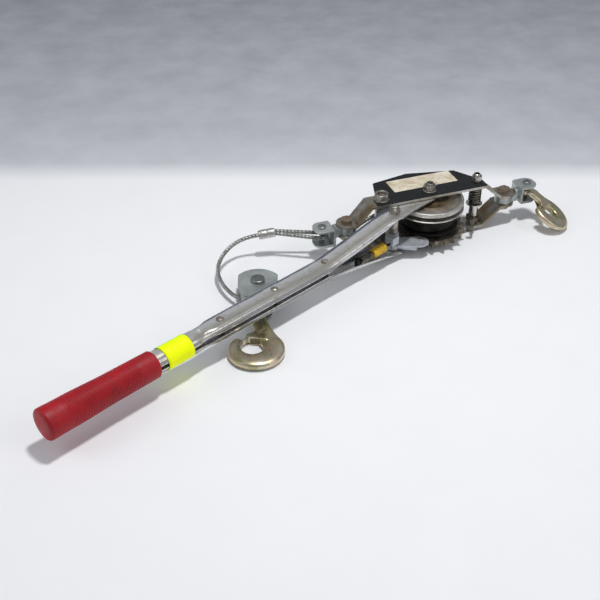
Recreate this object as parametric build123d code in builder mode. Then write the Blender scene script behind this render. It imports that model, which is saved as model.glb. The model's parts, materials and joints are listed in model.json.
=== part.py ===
from build123d import *
import math
import os

# A hand cable winch (come-along) lying on its side on a flat surface.
# The origin is on that surface under the drum axle. +X runs along the frame towards the anchor
# hook, +Z is up along the axle. All sizes are millimetres and degrees.

# Frame
STRAP_WIDTH = 25.4
STRAP_THICK = 3.2
MID_Z = 33.0  # mid-plane between the two straps
STRAP_OUT_Z = 62.0  # outer face of the upper strap
STRAP_IN_Z = STRAP_OUT_Z - STRAP_THICK
TAB_Z = 41.2  # outer face of the upper strap's end tabs
LOW_IN_Z = 2 * MID_Z - STRAP_IN_Z
STRAP_FLAT = (-80.0, 71.0)
STRAP_FOOT = (-98.0, 95.0)
END_BOLT_X = (-106.5, 104.0)
LEFT_BOLT_X = -63.0
PIVOT_X = 63.2  # bolt that carries the holding pawl
GUARD_THICK = 1.0
GUARD_Z = STRAP_OUT_Z + GUARD_THICK
CLEARANCE = 0.05  # radial clearance of a running fit

# Fasteners: shank radius and width across flats
AXLE_R, AXLE_AF = 6.0, 17.0
STUD_R, STUD_AF = 4.7, 14.0
BOLT_R, BOLT_AF = 5.0, 16.0
PIN_R, PIN_AF = 4.0, 11.5
END_R, END_AF = 4.0, 13.0
HEAD_THICK = 4.0

# Drum and ratchet
TEETH = 20
RATCHET_Z = 10.6
RATCHET_THICK = 5.4
TOOTH_TIP_R, TOOTH_ROOT_R = 46.5, 40.6
FLANGE_R = 42.6
LOW_FLANGE_R = 37.0
DRUM_BASE_Z = 20.7
FLANGE_THICK = 1.8
CORE_R = 22.0
CORE_TOP_Z = 41.6
BUSH_R = 9.0
WOUND_R = 33.0
DISH_Z = 49.8
DRUM_TOP_Z = 53.6

# Handle, laid out along its own centreline
HANDLE_ANGLE = 204.0
ARM_TOP_Z, ARM_THICK = 58.0, 2.2
ARM_HALF, EAR_HALF = 12.0, 14.5
DRIVE_PIN_S = 62.7
FORK_END_S, BAR_START_S, BAR_END_S, TUBE_START_S = 85.0, 180.0, 345.0, 366.0
TUBE_END_S = 540.0
BAR_HALF, BAR_DEPTH, BAR_GAP = 12.0, 8.0, 4.0
SHELL_THICK = 1.6
TUBE_R = 11.85
TUBE_OUT_R = TUBE_R * 1.065
RIVET_S = (178.6, 254.7, 331.1)
GRIP_S = (417.0, 544.0)
GRIP_R = (14.5, 16.7)
STICKER_S = (375.0, 408.0)

# Pawls
PAWL_TIP_R = 41.8
PAWL_LEAD = 22.0  # angle of the driving pawl's tip from the handle's centreline
PAWL_THICK = 4.8
PAWL_Z = RATCHET_Z + 0.2
PAWL_LIFT = 14.0  # how far each pawl stands lifted from its tooth gap
PLATE_Z = RATCHET_Z + RATCHET_THICK + 0.4
PLATE_THICK = 2.0
DRIVE_TIP_ANGLE = HANDLE_ANGLE + PAWL_LEAD
HOLD_TIP_ANGLE = DRIVE_TIP_ANGLE + 6 * 360 / TEETH

# Swivel eyes, clevises and the anchor hook
EYE_R, EYE_THICK = 11.0, 9.6
CRANK = 3.5  # the swivel stud sits this far off the frame's mid-plane
COLLAR_X = (13.8, 17.6)  # from the end bolt
CLEVIS_WEB_X, CLEVIS_WEB = 17.9, 2.8
CLEVIS_HALF, CLEVIS_HEIGHT, CLEVIS_LEG = 12.2, 22.0, 2.5
CLEVIS_LENGTH = 24.0
CLEVIS_PIN_X = 31.5
CLEVIS_CORNER = 10.0
ANCHOR_BOWL = (153.4, -31.9, 16.7)
ANCHOR_YAW, ANCHOR_PITCH, ANCHOR_ROLL = -61.8, 28.7, -13.9
ANCHOR_R, ANCHOR_HOLE, ANCHOR_HALF = 26.0, 9.0, 4.5
ANCHOR_THROAT = 9.5

# Pulley block, laid out from its sheave along the direction of its hook
BLOCK_X, BLOCK_Y = -234.0, -50.0
BLOCK_ANGLE = 250.4
CHEEK_LOW_Z, CHEEK_THICK, CHEEK_TOP_Z = 1.8, 2.5, 19.8
BLOCK_HEAD = 2.6  # the hook pin's head stays low, under the lever
SHEAVE_HEAD = 3.9
SHEAVE_R, SHEAVE_ROOT_R, SHEAVE_THICK = 21.0, 15.6, 11.0
ROPE_Z = (CHEEK_LOW_Z + CHEEK_TOP_Z) / 2
KEEPER = (28.6, 12.3)
HOOK_PIN_S = 44.0
BLOCK_BOWL_S = 106.0
BLOCK_HOOK_R, BLOCK_HOOK_HOLE, BLOCK_HOOK_HALF = 30.0, 12.0, 5.0
BLOCK_HOLE_AT = (-2.0, -4.0)  # the hole's centre from the bowl's
BLOCK_THROAT = 12.0

# Wire rope
ROPE_D = 4.8
FERRULE = ((-188.0, 23.0, 31.5), (-207.0, 28.0, 28.5))
FERRULE_R = 5.75
ROUTE = [
    (4.0, 35.8, 26.5),
    (-20.0, 36.2, 25.5),
    (-44.0, 37.5, 21.5),
    (-68.0, 35.0, 15.0),
    (-90.0, 26.0, 8.6),
    (-104.0, 10.0, 4.2),
    (-115.0, -10.0, 2.7),
    (-130.0, -30.0, 2.8),
    (-151.0, -44.0, 3.6),
    (-176.0, -53.5, 5.8),
    (-200.0, -60.5, 8.8),
    (-218.5, -69.3, 10.6),
    (-230.4, -73.2, 10.8),
    (-242.2, -72.8, 10.8),
    (-253.1, -68.2, 10.8),
    (-261.6, -60.6, 10.8),
    (-267.0, -48.0, 10.9),
    (-270.4, -27.0, 11.6),
    (-268.2, -4.0, 13.8),
    (-256.5, 15.5, 17.8),
    (-238.5, 28.6, 22.6),
    (-220.0, 31.4, 26.4),
    (-207.0, 28.0, 28.5),
]

os.makedirs("parts", exist_ok=True)


def save(piece, name):
    """Label a finished sub-part and write it."""
    piece.part.label = name
    export_step(piece.part, f"parts/{name}.step")


def polar(radius, angle, centre=(0.0, 0.0)):
    """Point at a radius and an angle in degrees from a centre."""
    turn = math.radians(angle)
    return (centre[0] + radius * math.cos(turn), centre[1] + radius * math.sin(turn))


def turned(points, centre, angle):
    """Points turned about a centre by an angle in degrees."""
    c, s = math.cos(math.radians(angle)), math.sin(math.radians(angle))
    moved = []
    for x, y in points:
        dx, dy = x - centre[0], y - centre[1]
        moved.append((centre[0] + c * dx - s * dy, centre[1] + s * dx + c * dy))
    return moved


def strip(points, thick):
    """Outline of a bent strip: its points, and the same path moved left by the thickness."""
    moved = []
    for i, (x, y) in enumerate(points):
        x0, y0 = points[max(i - 1, 0)]
        x1, y1 = points[min(i + 1, len(points) - 1)]
        into = math.atan2(y - y0, x - x0) if i > 0 else math.atan2(y1 - y, x1 - x)
        away = math.atan2(y1 - y, x1 - x) if i < len(points) - 1 else into
        half = (away - into) / 2
        reach = thick / math.cos(half)
        side = (into + away) / 2 + math.pi / 2
        moved.append((x + reach * math.cos(side), y + reach * math.sin(side)))
    return points + moved[::-1]


def upright(z):
    """Horizontal plane at a height."""
    return Plane.XY.offset(z)


def handle_plane(z):
    """Horizontal plane whose x runs along the handle and whose y points to its front side."""
    x, y = polar(1.0, HANDLE_ANGLE)
    return Plane(origin=(0, 0, z), x_dir=(x, y, 0), z_dir=(0, 0, 1))


def handle_section(s):
    """Plane across the handle at a distance from the axle: x to the front side, y up."""
    x, y = polar(1.0, HANDLE_ANGLE)
    return Plane(origin=(x * s, y * s, 0), x_dir=(-y, x, 0), z_dir=(x, y, 0))


def block_plane(z):
    """Horizontal plane at the sheave whose x runs towards the block's hook."""
    x, y = polar(1.0, BLOCK_ANGLE)
    return Plane(origin=(BLOCK_X, BLOCK_Y, z), x_dir=(x, y, 0), z_dir=(0, 0, 1))


def disc(radius, bore, height):
    """Washer-shaped solid standing on the working planes."""
    Cylinder(radius, height, align=(Align.CENTER, Align.CENTER, Align.MIN))
    if bore:
        Cylinder(bore, height, align=(Align.CENTER, Align.CENTER, Align.MIN), mode=Mode.SUBTRACT)


def hexagon(at, across, height):
    """Hexagonal prism standing at a point."""
    with BuildSketch(Plane(origin=at)) as outline:
        RegularPolygon(across / 2, 6, major_radius=False)
    extrude(outline.sketch, amount=height)


def nut(at, across, bore, height):
    """Nut with its bore, standing at a point."""
    hexagon(at, across, height)
    with Locations(at):
        Cylinder(bore, height, align=(Align.CENTER, Align.CENTER, Align.MIN), mode=Mode.SUBTRACT)


def bolt(at, across, radius, length, head=HEAD_THICK):
    """Bolt standing on its head at a point."""
    hexagon(at, across, head)
    with Locations(at):
        Cylinder(radius, length, align=(Align.CENTER, Align.CENTER, Align.MIN))


def coil(at, along, radius, wire, height, turns):
    """Round-wire helical spring from a point along a direction."""
    with BuildLine() as path:
        Helix(pitch=height / turns, height=height, radius=radius, center=at, direction=along)
    start = path.edges()[0]
    with BuildSketch(Plane(origin=start @ 0, z_dir=start % 0)) as section:
        Circle(wire)
    sweep(section.sketch, path=path.wires()[0])


# ---------------------------------------------------------------- frame straps
def strap(name, sign):
    """One long strap: flat in the middle, joggled in to its two end tabs."""
    def level(z):
        return MID_Z + sign * (z - MID_Z)

    first, last = END_BOLT_X[0] - STRAP_WIDTH / 2, END_BOLT_X[1] + STRAP_WIDTH / 2
    top = [
        (first, level(TAB_Z)),
        (STRAP_FOOT[0], level(TAB_Z)),
        (STRAP_FLAT[0], level(STRAP_OUT_Z)),
        (STRAP_FLAT[1], level(STRAP_OUT_Z)),
        (STRAP_FOOT[1], level(TAB_Z)),
        (last, level(TAB_Z)),
    ]
    with BuildPart() as piece:
        with BuildSketch(Plane.XZ):
            with BuildLine():
                Polyline(*strip(top, -sign * STRAP_THICK), close=True)
            make_face()
        extrude(amount=STRAP_WIDTH / 2, both=True)
        bends = piece.edges().filter_by(Axis.Y).filter_by(
            lambda e: first + 1 < e.center().X < last - 1
        )
        fillet(bends, 1.5)
        fillet(piece.edges().filter_by(Axis.Z), STRAP_WIDTH / 2 - 0.2)
        for x, radius in (
            (END_BOLT_X[0], END_R),
            (LEFT_BOLT_X, BOLT_R),
            (0.0, STUD_R if sign > 0 else AXLE_R),
            (PIVOT_X, PIN_R),
            (END_BOLT_X[1], END_R),
        ):
            with Locations((x, 0, MID_Z + sign * 20)):
                Cylinder(radius + CLEARANCE, 40, mode=Mode.SUBTRACT)
    save(piece, name)


strap("top_strap", 1)
strap("bottom_strap", -1)

with BuildPart() as guard_plate:
    with BuildSketch(upright(STRAP_OUT_Z)):
        with BuildLine():
            Polyline(
                (-74, -12.7), (72, -12.7), (72, 1), (66, 11), (50, 35), (-9, 47.5), (-57, 39),
                close=True,
            )
        make_face()
        fillet(vertices(), 2.0)
        for x, radius in ((LEFT_BOLT_X, BOLT_R), (0, STUD_R), (PIVOT_X, PIN_R)):
            with Locations((x, 0)):
                Circle(radius + CLEARANCE, mode=Mode.SUBTRACT)
    extrude(amount=GUARD_THICK)
save(guard_plate, "guard_plate")

with BuildPart() as label_plate:
    with BuildSketch(upright(GUARD_Z)):
        with Locations((1, 23)):
            RectangleRounded(84, 27, 1.0)
    extrude(amount=0.2)
save(label_plate, "label_plate")

# ---------------------------------------------------------------- frame fasteners
with BuildPart() as drum_axle:
    hexagon((0, 0, 0), AXLE_AF, HEAD_THICK)
    Cylinder(AXLE_R, STRAP_IN_Z, align=(Align.CENTER, Align.CENTER, Align.MIN))
    Cylinder(STUD_R, 73.5, align=(Align.CENTER, Align.CENTER, Align.MIN))
    chamfer(drum_axle.faces().sort_by(Axis.Z)[-1].edges(), 0.8)
save(drum_axle, "drum_axle")

with BuildPart() as axle_nut:
    with Locations((0, 0, GUARD_Z)):
        disc(8.2, STUD_R + CLEARANCE, 1.4)
    nut((0, 0, GUARD_Z + 1.4), STUD_AF, STUD_R + CLEARANCE, 6.2)
save(axle_nut, "axle_nut")

with BuildPart() as frame_bolt:
    bolt((LEFT_BOLT_X, 0, 0), BOLT_AF, BOLT_R, 68.0)
save(frame_bolt, "frame_bolt")

with BuildPart() as frame_nut:
    with Locations((LEFT_BOLT_X, 0, GUARD_Z)):
        disc(9.4, BOLT_R + CLEARANCE, 1.4)
    nut((LEFT_BOLT_X, 0, GUARD_Z + 1.4), BOLT_AF, BOLT_R + CLEARANCE, 7.0)
save(frame_nut, "frame_nut")

with BuildPart() as frame_spacer:
    with Locations((LEFT_BOLT_X, 0, LOW_IN_Z)):
        disc(7.0, BOLT_R + CLEARANCE, STRAP_IN_Z - LOW_IN_Z)
save(frame_spacer, "frame_spacer")

with BuildPart() as pivot_bolt:
    bolt((PIVOT_X, 0, 0), 13.0, PIN_R, 74.0)
    chamfer(pivot_bolt.faces().sort_by(Axis.Z)[-1].edges(), 0.8)
save(pivot_bolt, "pivot_bolt")

with BuildPart() as pivot_nut:
    with Locations((PIVOT_X, 0, GUARD_Z)):
        disc(7.6, PIN_R + CLEARANCE, 1.2)
    nut((PIVOT_X, 0, GUARD_Z + 1.2), PIN_AF, PIN_R + CLEARANCE, 7.0)
save(pivot_nut, "pivot_nut")

SEAT_Z = 31.0
with BuildPart() as spring_seat:
    with BuildSketch(Plane(origin=(PIVOT_X, 0, 0), x_dir=(1, 0, 0), z_dir=(0, -1, 0))):
        with BuildLine():
            Polyline(
                (PIN_R + CLEARANCE, SEAT_Z), (7.0, SEAT_Z), (10.0, SEAT_Z + 1.6),
                (10.0, SEAT_Z + 2.8), (7.2, SEAT_Z + 3.6), (PIN_R + CLEARANCE, SEAT_Z + 3.6),
                close=True,
            )
        make_face()
    revolve(axis=Axis((PIVOT_X, 0, 0), (0, 0, 1)))
save(spring_seat, "spring_seat")

with BuildPart() as pivot_sleeve:
    with Locations((PIVOT_X, 0, PLATE_Z)):
        disc(5.6, PIN_R + CLEARANCE, SEAT_Z - PLATE_Z)
save(pivot_sleeve, "pivot_sleeve")

SPRING_WIRE = 1.1
with BuildPart() as holding_spring:
    spring_base = (PIVOT_X, 0, SEAT_Z + 3.8 + SPRING_WIRE)
    coil(spring_base, (0, 0, 1), 6.6, SPRING_WIRE, STRAP_IN_Z - SEAT_Z - 4.4 - 2 * SPRING_WIRE, 8)
save(holding_spring, "holding_spring")

with BuildPart() as end_bolts:
    for x in END_BOLT_X:
        hexagon((x, 0, TAB_Z), END_AF, 5.0)
        with Locations((x, 0, 18.6)):
            disc(END_R, 0, TAB_Z - 18.6)
save(end_bolts, "end_bolts")

with BuildPart() as end_nuts:
    for x in END_BOLT_X:
        nut((x, 0, 2 * MID_Z - TAB_Z - 5.8), END_AF, END_R + CLEARANCE, 5.8)
save(end_nuts, "end_nuts")


# ---------------------------------------------------------------- swivel eyes and clevises
def swivel_eye(name, x, outward, crank):
    """Forged eye on an end bolt, with a cranked stud that carries a clevis."""
    z = MID_Z + crank
    with BuildPart() as piece:
        with Locations((x, 0, MID_Z)):
            Cylinder(EYE_R, EYE_THICK)
        with Locations((x + outward * 8.0, 0, MID_Z)):
            Box(16.0, 13.0, EYE_THICK)
        with BuildSketch(Plane(origin=(x + outward * COLLAR_X[0], 0, z), z_dir=(outward, 0, 0))):
            Circle(6.5)
        extrude(amount=COLLAR_X[1] - COLLAR_X[0])
        with BuildSketch(Plane(origin=(x + outward * COLLAR_X[1], 0, z), z_dir=(outward, 0, 0))):
            Circle(3.5)
        extrude(amount=CLEVIS_WEB + 0.6)
        head = x + outward * (CLEVIS_WEB_X + CLEVIS_WEB + 0.3)
        with BuildSketch(Plane(origin=(head, 0, z), z_dir=(outward, 0, 0))):
            Circle(5.2)
        extrude(amount=1.0)
        with Locations((x, 0, MID_Z)):
            Cylinder(END_R + CLEARANCE, EYE_THICK, mode=Mode.SUBTRACT)
    save(piece, name)


def clevis(name, x, outward, crank):
    """U-shaped clevis of bent plate, with rounded legs and a pin hole."""
    z = MID_Z + crank
    low, high = z - CLEVIS_HEIGHT / 2, z + CLEVIS_HEIGHT / 2
    web = x + outward * CLEVIS_WEB_X
    tip = web + outward * CLEVIS_LENGTH
    inner = web + outward * CLEVIS_WEB
    with BuildPart() as piece:
        with BuildSketch(Plane.XZ):
            with BuildLine():
                Polyline(
                    (tip, low), (web, low), (web, high), (tip, high), (tip, high - CLEVIS_LEG),
                    (inner, high - CLEVIS_LEG), (inner, low + CLEVIS_LEG), (tip, low + CLEVIS_LEG),
                    close=True,
                )
            make_face()
        extrude(amount=CLEVIS_HALF, both=True)
        corners = piece.edges().filter_by(Axis.Z).filter_by(lambda e: abs(e.center().X - tip) < 0.1)
        fillet(corners, CLEVIS_CORNER)
        bends = piece.edges().filter_by(Axis.Y).filter_by(lambda e: abs(e.center().X - web) < 0.1)
        fillet(bends, 2.4)
        with Locations((x + outward * CLEVIS_PIN_X, 0, z)):
            Cylinder(3.0 + CLEARANCE, CLEVIS_HEIGHT, mode=Mode.SUBTRACT)
        with Locations(Location((web + outward * CLEVIS_WEB / 2, 0, z), (0, 90, 0))):
            Cylinder(3.5 + CLEARANCE, CLEVIS_WEB + 1, mode=Mode.SUBTRACT)
    save(piece, name)


def clevis_pin(name, x, outward, crank):
    """Headed pin through both legs of a clevis, peened below."""
    z = MID_Z + crank
    low, high = z - CLEVIS_HEIGHT / 2, z + CLEVIS_HEIGHT / 2
    with BuildPart() as piece:
        with Locations((x + outward * CLEVIS_PIN_X, 0, low - 1.6)):
            disc(3.0, 0, CLEVIS_HEIGHT + 1.6)
            disc(4.6, 0, 1.5)
        with Locations((x + outward * CLEVIS_PIN_X, 0, high)):
            disc(5.0, 0, 2.4)
        fillet(piece.faces().sort_by(Axis.Z)[-1].edges(), 1.2)
    save(piece, name)


swivel_eye("cable_eye", END_BOLT_X[0], -1, -CRANK)
clevis("cable_clevis", END_BOLT_X[0], -1, -CRANK)
clevis_pin("cable_pin", END_BOLT_X[0], -1, -CRANK)
swivel_eye("anchor_eye", END_BOLT_X[1], 1, CRANK)
clevis("anchor_clevis", END_BOLT_X[1], 1, CRANK)
clevis_pin("anchor_pin", END_BOLT_X[1], 1, CRANK)


# ---------------------------------------------------------------- hooks
def tilted(origin, yaw, pitch, roll):
    """Plane of a hook's bowl: x from its eye to its bowl, z across its thickness."""
    a, b, c = (math.radians(v) for v in (yaw, pitch, roll))
    along = Vector(math.cos(b) * math.cos(a), math.cos(b) * math.sin(a), -math.sin(b))
    left = Vector(-math.sin(a), math.cos(a), 0)
    up = along.cross(left)
    side = left * math.cos(c) + up * math.sin(c)
    return Plane(origin=origin, x_dir=along, z_dir=along.cross(side))


SLOT_ANGLE = 222.0  # the throat opens this way from the bowl's centre
LATCH_PIN_R = 1.0
LATCH_HALF = 3.2  # half the latch's width across the hook's thickness


def latch_pivot(hole, slot):
    """Latch pivot in the bowl's plane, just inside the shank's side of the throat."""
    at = polar(hole + 3.0, SLOT_ANGLE)
    return polar(slot / 2 + 2.2, SLOT_ANGLE - 90, at)


def hook(name, bowl, outer, hole, hole_at, half, eye, eye_r, eye_half, bore, slot):
    """Forged hook: an eye, a shank along one side, and a bowl with its throat on the other."""
    centre = Plane(origin=bowl.from_local_coords((*hole_at, 0)), x_dir=bowl.x_dir, z_dir=bowl.z_dir)
    reach = Vector(bowl.origin.X - eye[0], bowl.origin.Y - eye[1], 0).normalized()
    root = Vector(*eye)
    neck = bowl.from_local_coords((-outer + 9, 6, 0))
    with BuildPart() as piece:
        with Locations(eye):
            Cylinder(eye_r, 2 * eye_half)
        with BuildSketch(bowl.offset(-half)):
            Circle(outer)
        extrude(amount=2 * half)
        chamfer(piece.edges().filter_by(GeomType.CIRCLE).filter_by(
            lambda e: abs(e.radius - outer) < 0.1), half * 0.35)
        with BuildSketch(Plane(origin=root + reach * 4, x_dir=(-reach.Y, reach.X, 0), z_dir=reach)):
            Rectangle(2 * eye_r - 4, 2 * eye_half - 0.6)
        with BuildSketch(Plane(origin=root + reach * (eye_r + 7),
                               x_dir=(-reach.Y, reach.X, 0), z_dir=reach)):
            Rectangle(2 * eye_r - 6, 2 * eye_half - 1.2)
        with BuildSketch(Plane(origin=neck, x_dir=bowl.y_dir, z_dir=bowl.x_dir)):
            Rectangle(outer * 0.75, 2 * half - 1)
        loft(ruled=True)
        with BuildSketch(centre.offset(-half - 8)):
            Circle(hole)
            with Locations(Location((*polar(outer * 0.8, SLOT_ANGLE), 0), (0, 0, SLOT_ANGLE))):
                Rectangle(outer * 1.6, slot)
        extrude(amount=2 * half + 16, mode=Mode.SUBTRACT)
        with BuildSketch(centre.offset(-LATCH_HALF - 0.3)):
            with Locations(latch_pivot(hole, slot)):
                Circle(4.6)
        extrude(amount=2 * LATCH_HALF + 0.6, mode=Mode.SUBTRACT)
        with BuildSketch(centre.offset(-half - 1)):
            with Locations(latch_pivot(hole, slot)):
                Circle(LATCH_PIN_R + CLEARANCE)
        extrude(amount=2 * half + 2, mode=Mode.SUBTRACT)
        with Locations(eye):
            Cylinder(bore, 4 * eye_half, mode=Mode.SUBTRACT)
    save(piece, name)
    print(name, "hole", centre.origin)


def latch(name, bowl, hole, hole_at, half, slot):
    """Spring latch across a hook's throat, and the pin that it turns on."""
    pivot = latch_pivot(hole, slot)
    pivot = (pivot[0] + hole_at[0], pivot[1] + hole_at[1])
    reach = slot + 1.7
    with BuildPart() as leaf:
        with BuildSketch(bowl.offset(-LATCH_HALF)):
            with Locations(pivot):
                Circle(2.6)
            with Locations(Location((*polar(reach / 2, SLOT_ANGLE + 90, pivot), 0),
                                    (0, 0, SLOT_ANGLE + 90))):
                Rectangle(reach, 2.0)
            with Locations(pivot):
                Circle(LATCH_PIN_R + CLEARANCE, mode=Mode.SUBTRACT)
        extrude(amount=2 * LATCH_HALF)
    save(leaf, name)
    with BuildPart() as pin:
        with BuildSketch(bowl.offset(-half + 0.2)):
            with Locations(pivot):
                Circle(LATCH_PIN_R)
        extrude(amount=2 * half - 0.4)
    save(pin, f"{name}_pin")
    print(name, "pivot", bowl.from_local_coords((*pivot, 0)), "axis", bowl.z_dir)


anchor_plane = tilted(ANCHOR_BOWL, ANCHOR_YAW, ANCHOR_PITCH, ANCHOR_ROLL)
anchor_pin_at = (END_BOLT_X[1] + CLEVIS_PIN_X, 0, MID_Z + CRANK)
hook("anchor_hook", anchor_plane, ANCHOR_R, ANCHOR_HOLE, (0, 0), ANCHOR_HALF, anchor_pin_at,
     8.6, 3.6, 3.4, ANCHOR_THROAT)
latch("anchor_latch", anchor_plane, ANCHOR_HOLE, (0, 0), ANCHOR_HALF, ANCHOR_THROAT)

BLOCK_BOWL = (*polar(BLOCK_BOWL_S, BLOCK_ANGLE, (BLOCK_X, BLOCK_Y)), BLOCK_HOOK_HALF)
block_bowl_plane = tilted(BLOCK_BOWL, BLOCK_ANGLE, 0, 0)
hook_pin_at = (*polar(HOOK_PIN_S, BLOCK_ANGLE, (BLOCK_X, BLOCK_Y)), ROPE_Z)
hook("block_hook", block_bowl_plane, BLOCK_HOOK_R, BLOCK_HOOK_HOLE, BLOCK_HOLE_AT, BLOCK_HOOK_HALF,
     hook_pin_at, 9.5, 4.0, 4.4, BLOCK_THROAT)
latch("block_latch", block_bowl_plane, BLOCK_HOOK_HOLE, BLOCK_HOLE_AT, BLOCK_HOOK_HALF, BLOCK_THROAT)

# ---------------------------------------------------------------- drum
with BuildPart() as ratchet_wheel:
    pitch = 360 / TEETH
    outline = []
    for tooth in range(TEETH):
        gap = DRIVE_TIP_ANGLE + tooth * pitch
        outline.append(polar(TOOTH_ROOT_R, gap - 0.2 * pitch))
        outline.append(polar(TOOTH_ROOT_R, gap + 0.2 * pitch))
        outline.append(polar(TOOTH_TIP_R, gap + 0.46 * pitch))
        outline.append(polar(TOOTH_TIP_R, gap + 0.54 * pitch))
    with BuildSketch(upright(RATCHET_Z)):
        with BuildLine():
            Polyline(*outline, close=True)
        make_face()
        Circle(BUSH_R, mode=Mode.SUBTRACT)
    extrude(amount=RATCHET_THICK)
save(ratchet_wheel, "ratchet_wheel")

with BuildPart() as lower_flange:
    with Locations((0, 0, DRUM_BASE_Z)):
        disc(LOW_FLANGE_R, 16.0, FLANGE_THICK)
save(lower_flange, "lower_flange")

with BuildPart() as drum_core:
    with Locations((0, 0, RATCHET_Z + RATCHET_THICK)):
        disc(16.0, BUSH_R, CORE_TOP_Z - RATCHET_Z - RATCHET_THICK)
    with Locations((0, 0, DRUM_BASE_Z + FLANGE_THICK)):
        disc(CORE_R, BUSH_R, CORE_TOP_Z - DRUM_BASE_Z - FLANGE_THICK)
save(drum_core, "drum_core")

with BuildPart() as wound_rope:
    with Locations((0, 0, DRUM_BASE_Z + FLANGE_THICK)):
        disc(WOUND_R, CORE_R, CORE_TOP_Z - DRUM_BASE_Z - FLANGE_THICK)
save(wound_rope, "wound_rope")

with BuildPart() as upper_flange:
    with Locations((0, 0, CORE_TOP_Z)):
        disc(FLANGE_R, BUSH_R, FLANGE_THICK)
save(upper_flange, "upper_flange")

CAP_Z = CORE_TOP_Z + FLANGE_THICK
with BuildPart() as drum_cap:
    with BuildSketch(Plane.XZ):
        with BuildLine():
            Polyline(
                (BUSH_R, CAP_Z), (30, CAP_Z), (30, DISH_Z), (38, DISH_Z + 0.9), (40.0, DISH_Z + 0.2),
                (40.4, DISH_Z - 1.8), (41.6, DISH_Z - 1.8), (FLANGE_R - 0.4, DISH_Z - 0.8),
                (FLANGE_R - 0.4, DISH_Z + 3.0), (41.2, DRUM_TOP_Z), (38.6, DRUM_TOP_Z),
                (37.0, DISH_Z + 2.6), (29, DISH_Z + 1.7), (BUSH_R, DISH_Z + 1.7), close=True,
            )
        make_face()
    revolve(axis=Axis.Z)
save(drum_cap, "drum_cap")

with BuildPart() as drum_bush:
    with Locations((0, 0, RATCHET_Z)):
        disc(BUSH_R, AXLE_R + CLEARANCE, DRUM_TOP_Z - 0.3 - RATCHET_Z)
save(drum_bush, "drum_bush")


# ---------------------------------------------------------------- handle
def half_shell(name, sign):
    """Pressed half of the handle: fork arm, flare, channel bar and half-round tube."""
    def level(z):
        return MID_Z + sign * (z - MID_Z)

    rim_bar = MID_Z + BAR_GAP / 2
    arm_low = ARM_TOP_Z - ARM_THICK

    def section(s, half, shoulder, rim, side, top):
        with BuildSketch(handle_section(s)) as outline:
            with BuildLine():
                Polyline(
                    (-half, level(rim)), (-half, level(side)), (-shoulder, level(top)),
                    (shoulder, level(top)), (half, level(side)), (half, level(rim)), close=True,
                )
            make_face()
        return outline.sketch

    bar_top = rim_bar + BAR_DEPTH
    tube_side = MID_Z + TUBE_R * 0.36
    tube_top = MID_Z + TUBE_R * 0.88
    w = SHELL_THICK
    outside = [
        section(FORK_END_S, 13.0, 12.4, arm_low, ARM_TOP_Z - 0.6, ARM_TOP_Z),
        section(BAR_START_S, BAR_HALF, 8.6, rim_bar, bar_top - 3.4, bar_top),
        section(BAR_END_S, BAR_HALF, 8.6, rim_bar, bar_top - 3.4, bar_top),
        section(TUBE_START_S, TUBE_R, TUBE_R * 0.56, MID_Z + 0.2, tube_side, tube_top),
        section(TUBE_END_S, TUBE_R, TUBE_R * 0.56, MID_Z + 0.2, tube_side, tube_top),
    ]
    inside = [
        section(FORK_END_S + 12, 11.4, 10.9, arm_low - 7.2, ARM_TOP_Z - 4.1, ARM_TOP_Z - 3.9),
        section(BAR_START_S, BAR_HALF - w, 8.0, rim_bar - 3, bar_top - 3.8, bar_top - w),
        section(BAR_END_S, BAR_HALF - w, 8.0, rim_bar - 3, bar_top - 3.8, bar_top - w),
        section(TUBE_START_S, TUBE_R - w, 5.6, MID_Z - 2, tube_side - 0.4, tube_top - w),
        section(TUBE_END_S + 1, TUBE_R - w, 5.6, MID_Z - 2, tube_side - 0.4, tube_top - w),
    ]
    with BuildPart() as piece:
        loft(outside, ruled=True)
        loft(inside, ruled=True, mode=Mode.SUBTRACT)
        with BuildSketch(handle_plane(level(arm_low + ARM_THICK / 2))):
            with BuildLine():
                Polyline(
                    (0, -ARM_HALF), (45, -ARM_HALF), (56, -EAR_HALF), (72, -EAR_HALF),
                    (FORK_END_S + 0.1, -13), (FORK_END_S + 0.1, 13), (72, EAR_HALF),
                    (56, EAR_HALF), (45, ARM_HALF), (0, ARM_HALF), close=True,
                )
            make_face()
            Circle(ARM_HALF)
            Circle(AXLE_R + CLEARANCE, mode=Mode.SUBTRACT)
            with Locations((DRIVE_PIN_S, 0)):
                Circle(PIN_R + CLEARANCE, mode=Mode.SUBTRACT)
        extrude(amount=ARM_THICK / 2, both=True)
        with Locations(*[(*polar(s, HANDLE_ANGLE), MID_Z) for s in RIVET_S]):
            Cylinder(3.0 + CLEARANCE, 60, mode=Mode.SUBTRACT)
    save(piece, name)


half_shell("handle_upper_shell", 1)
half_shell("handle_lower_shell", -1)

BAR_TOP = MID_Z + BAR_GAP / 2 + BAR_DEPTH
with BuildPart() as handle_rivets:
    for s in RIVET_S:
        grow = max(0.0, BAR_START_S - s + 4.2) * 0.16
        reach = BAR_TOP - MID_Z + grow
        with Locations((*polar(s, HANDLE_ANGLE), MID_Z)):
            Cylinder(3.0, 2 * reach + 0.4)
        for side in (1, -1):
            with Locations((*polar(s, HANDLE_ANGLE), MID_Z + side * (reach + 0.7))):
                Cylinder(4.2, 1.4)
save(handle_rivets, "handle_rivets")

with BuildPart() as rivet_spacers:
    for s in RIVET_S:
        with Locations((*polar(s, HANDLE_ANGLE), MID_Z)):
            Cylinder(4.6, 2 * (BAR_TOP - MID_Z - SHELL_THICK) - 0.2)
            Cylinder(3.0 + CLEARANCE, 40, mode=Mode.SUBTRACT)
save(rivet_spacers, "rivet_spacers")

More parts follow.
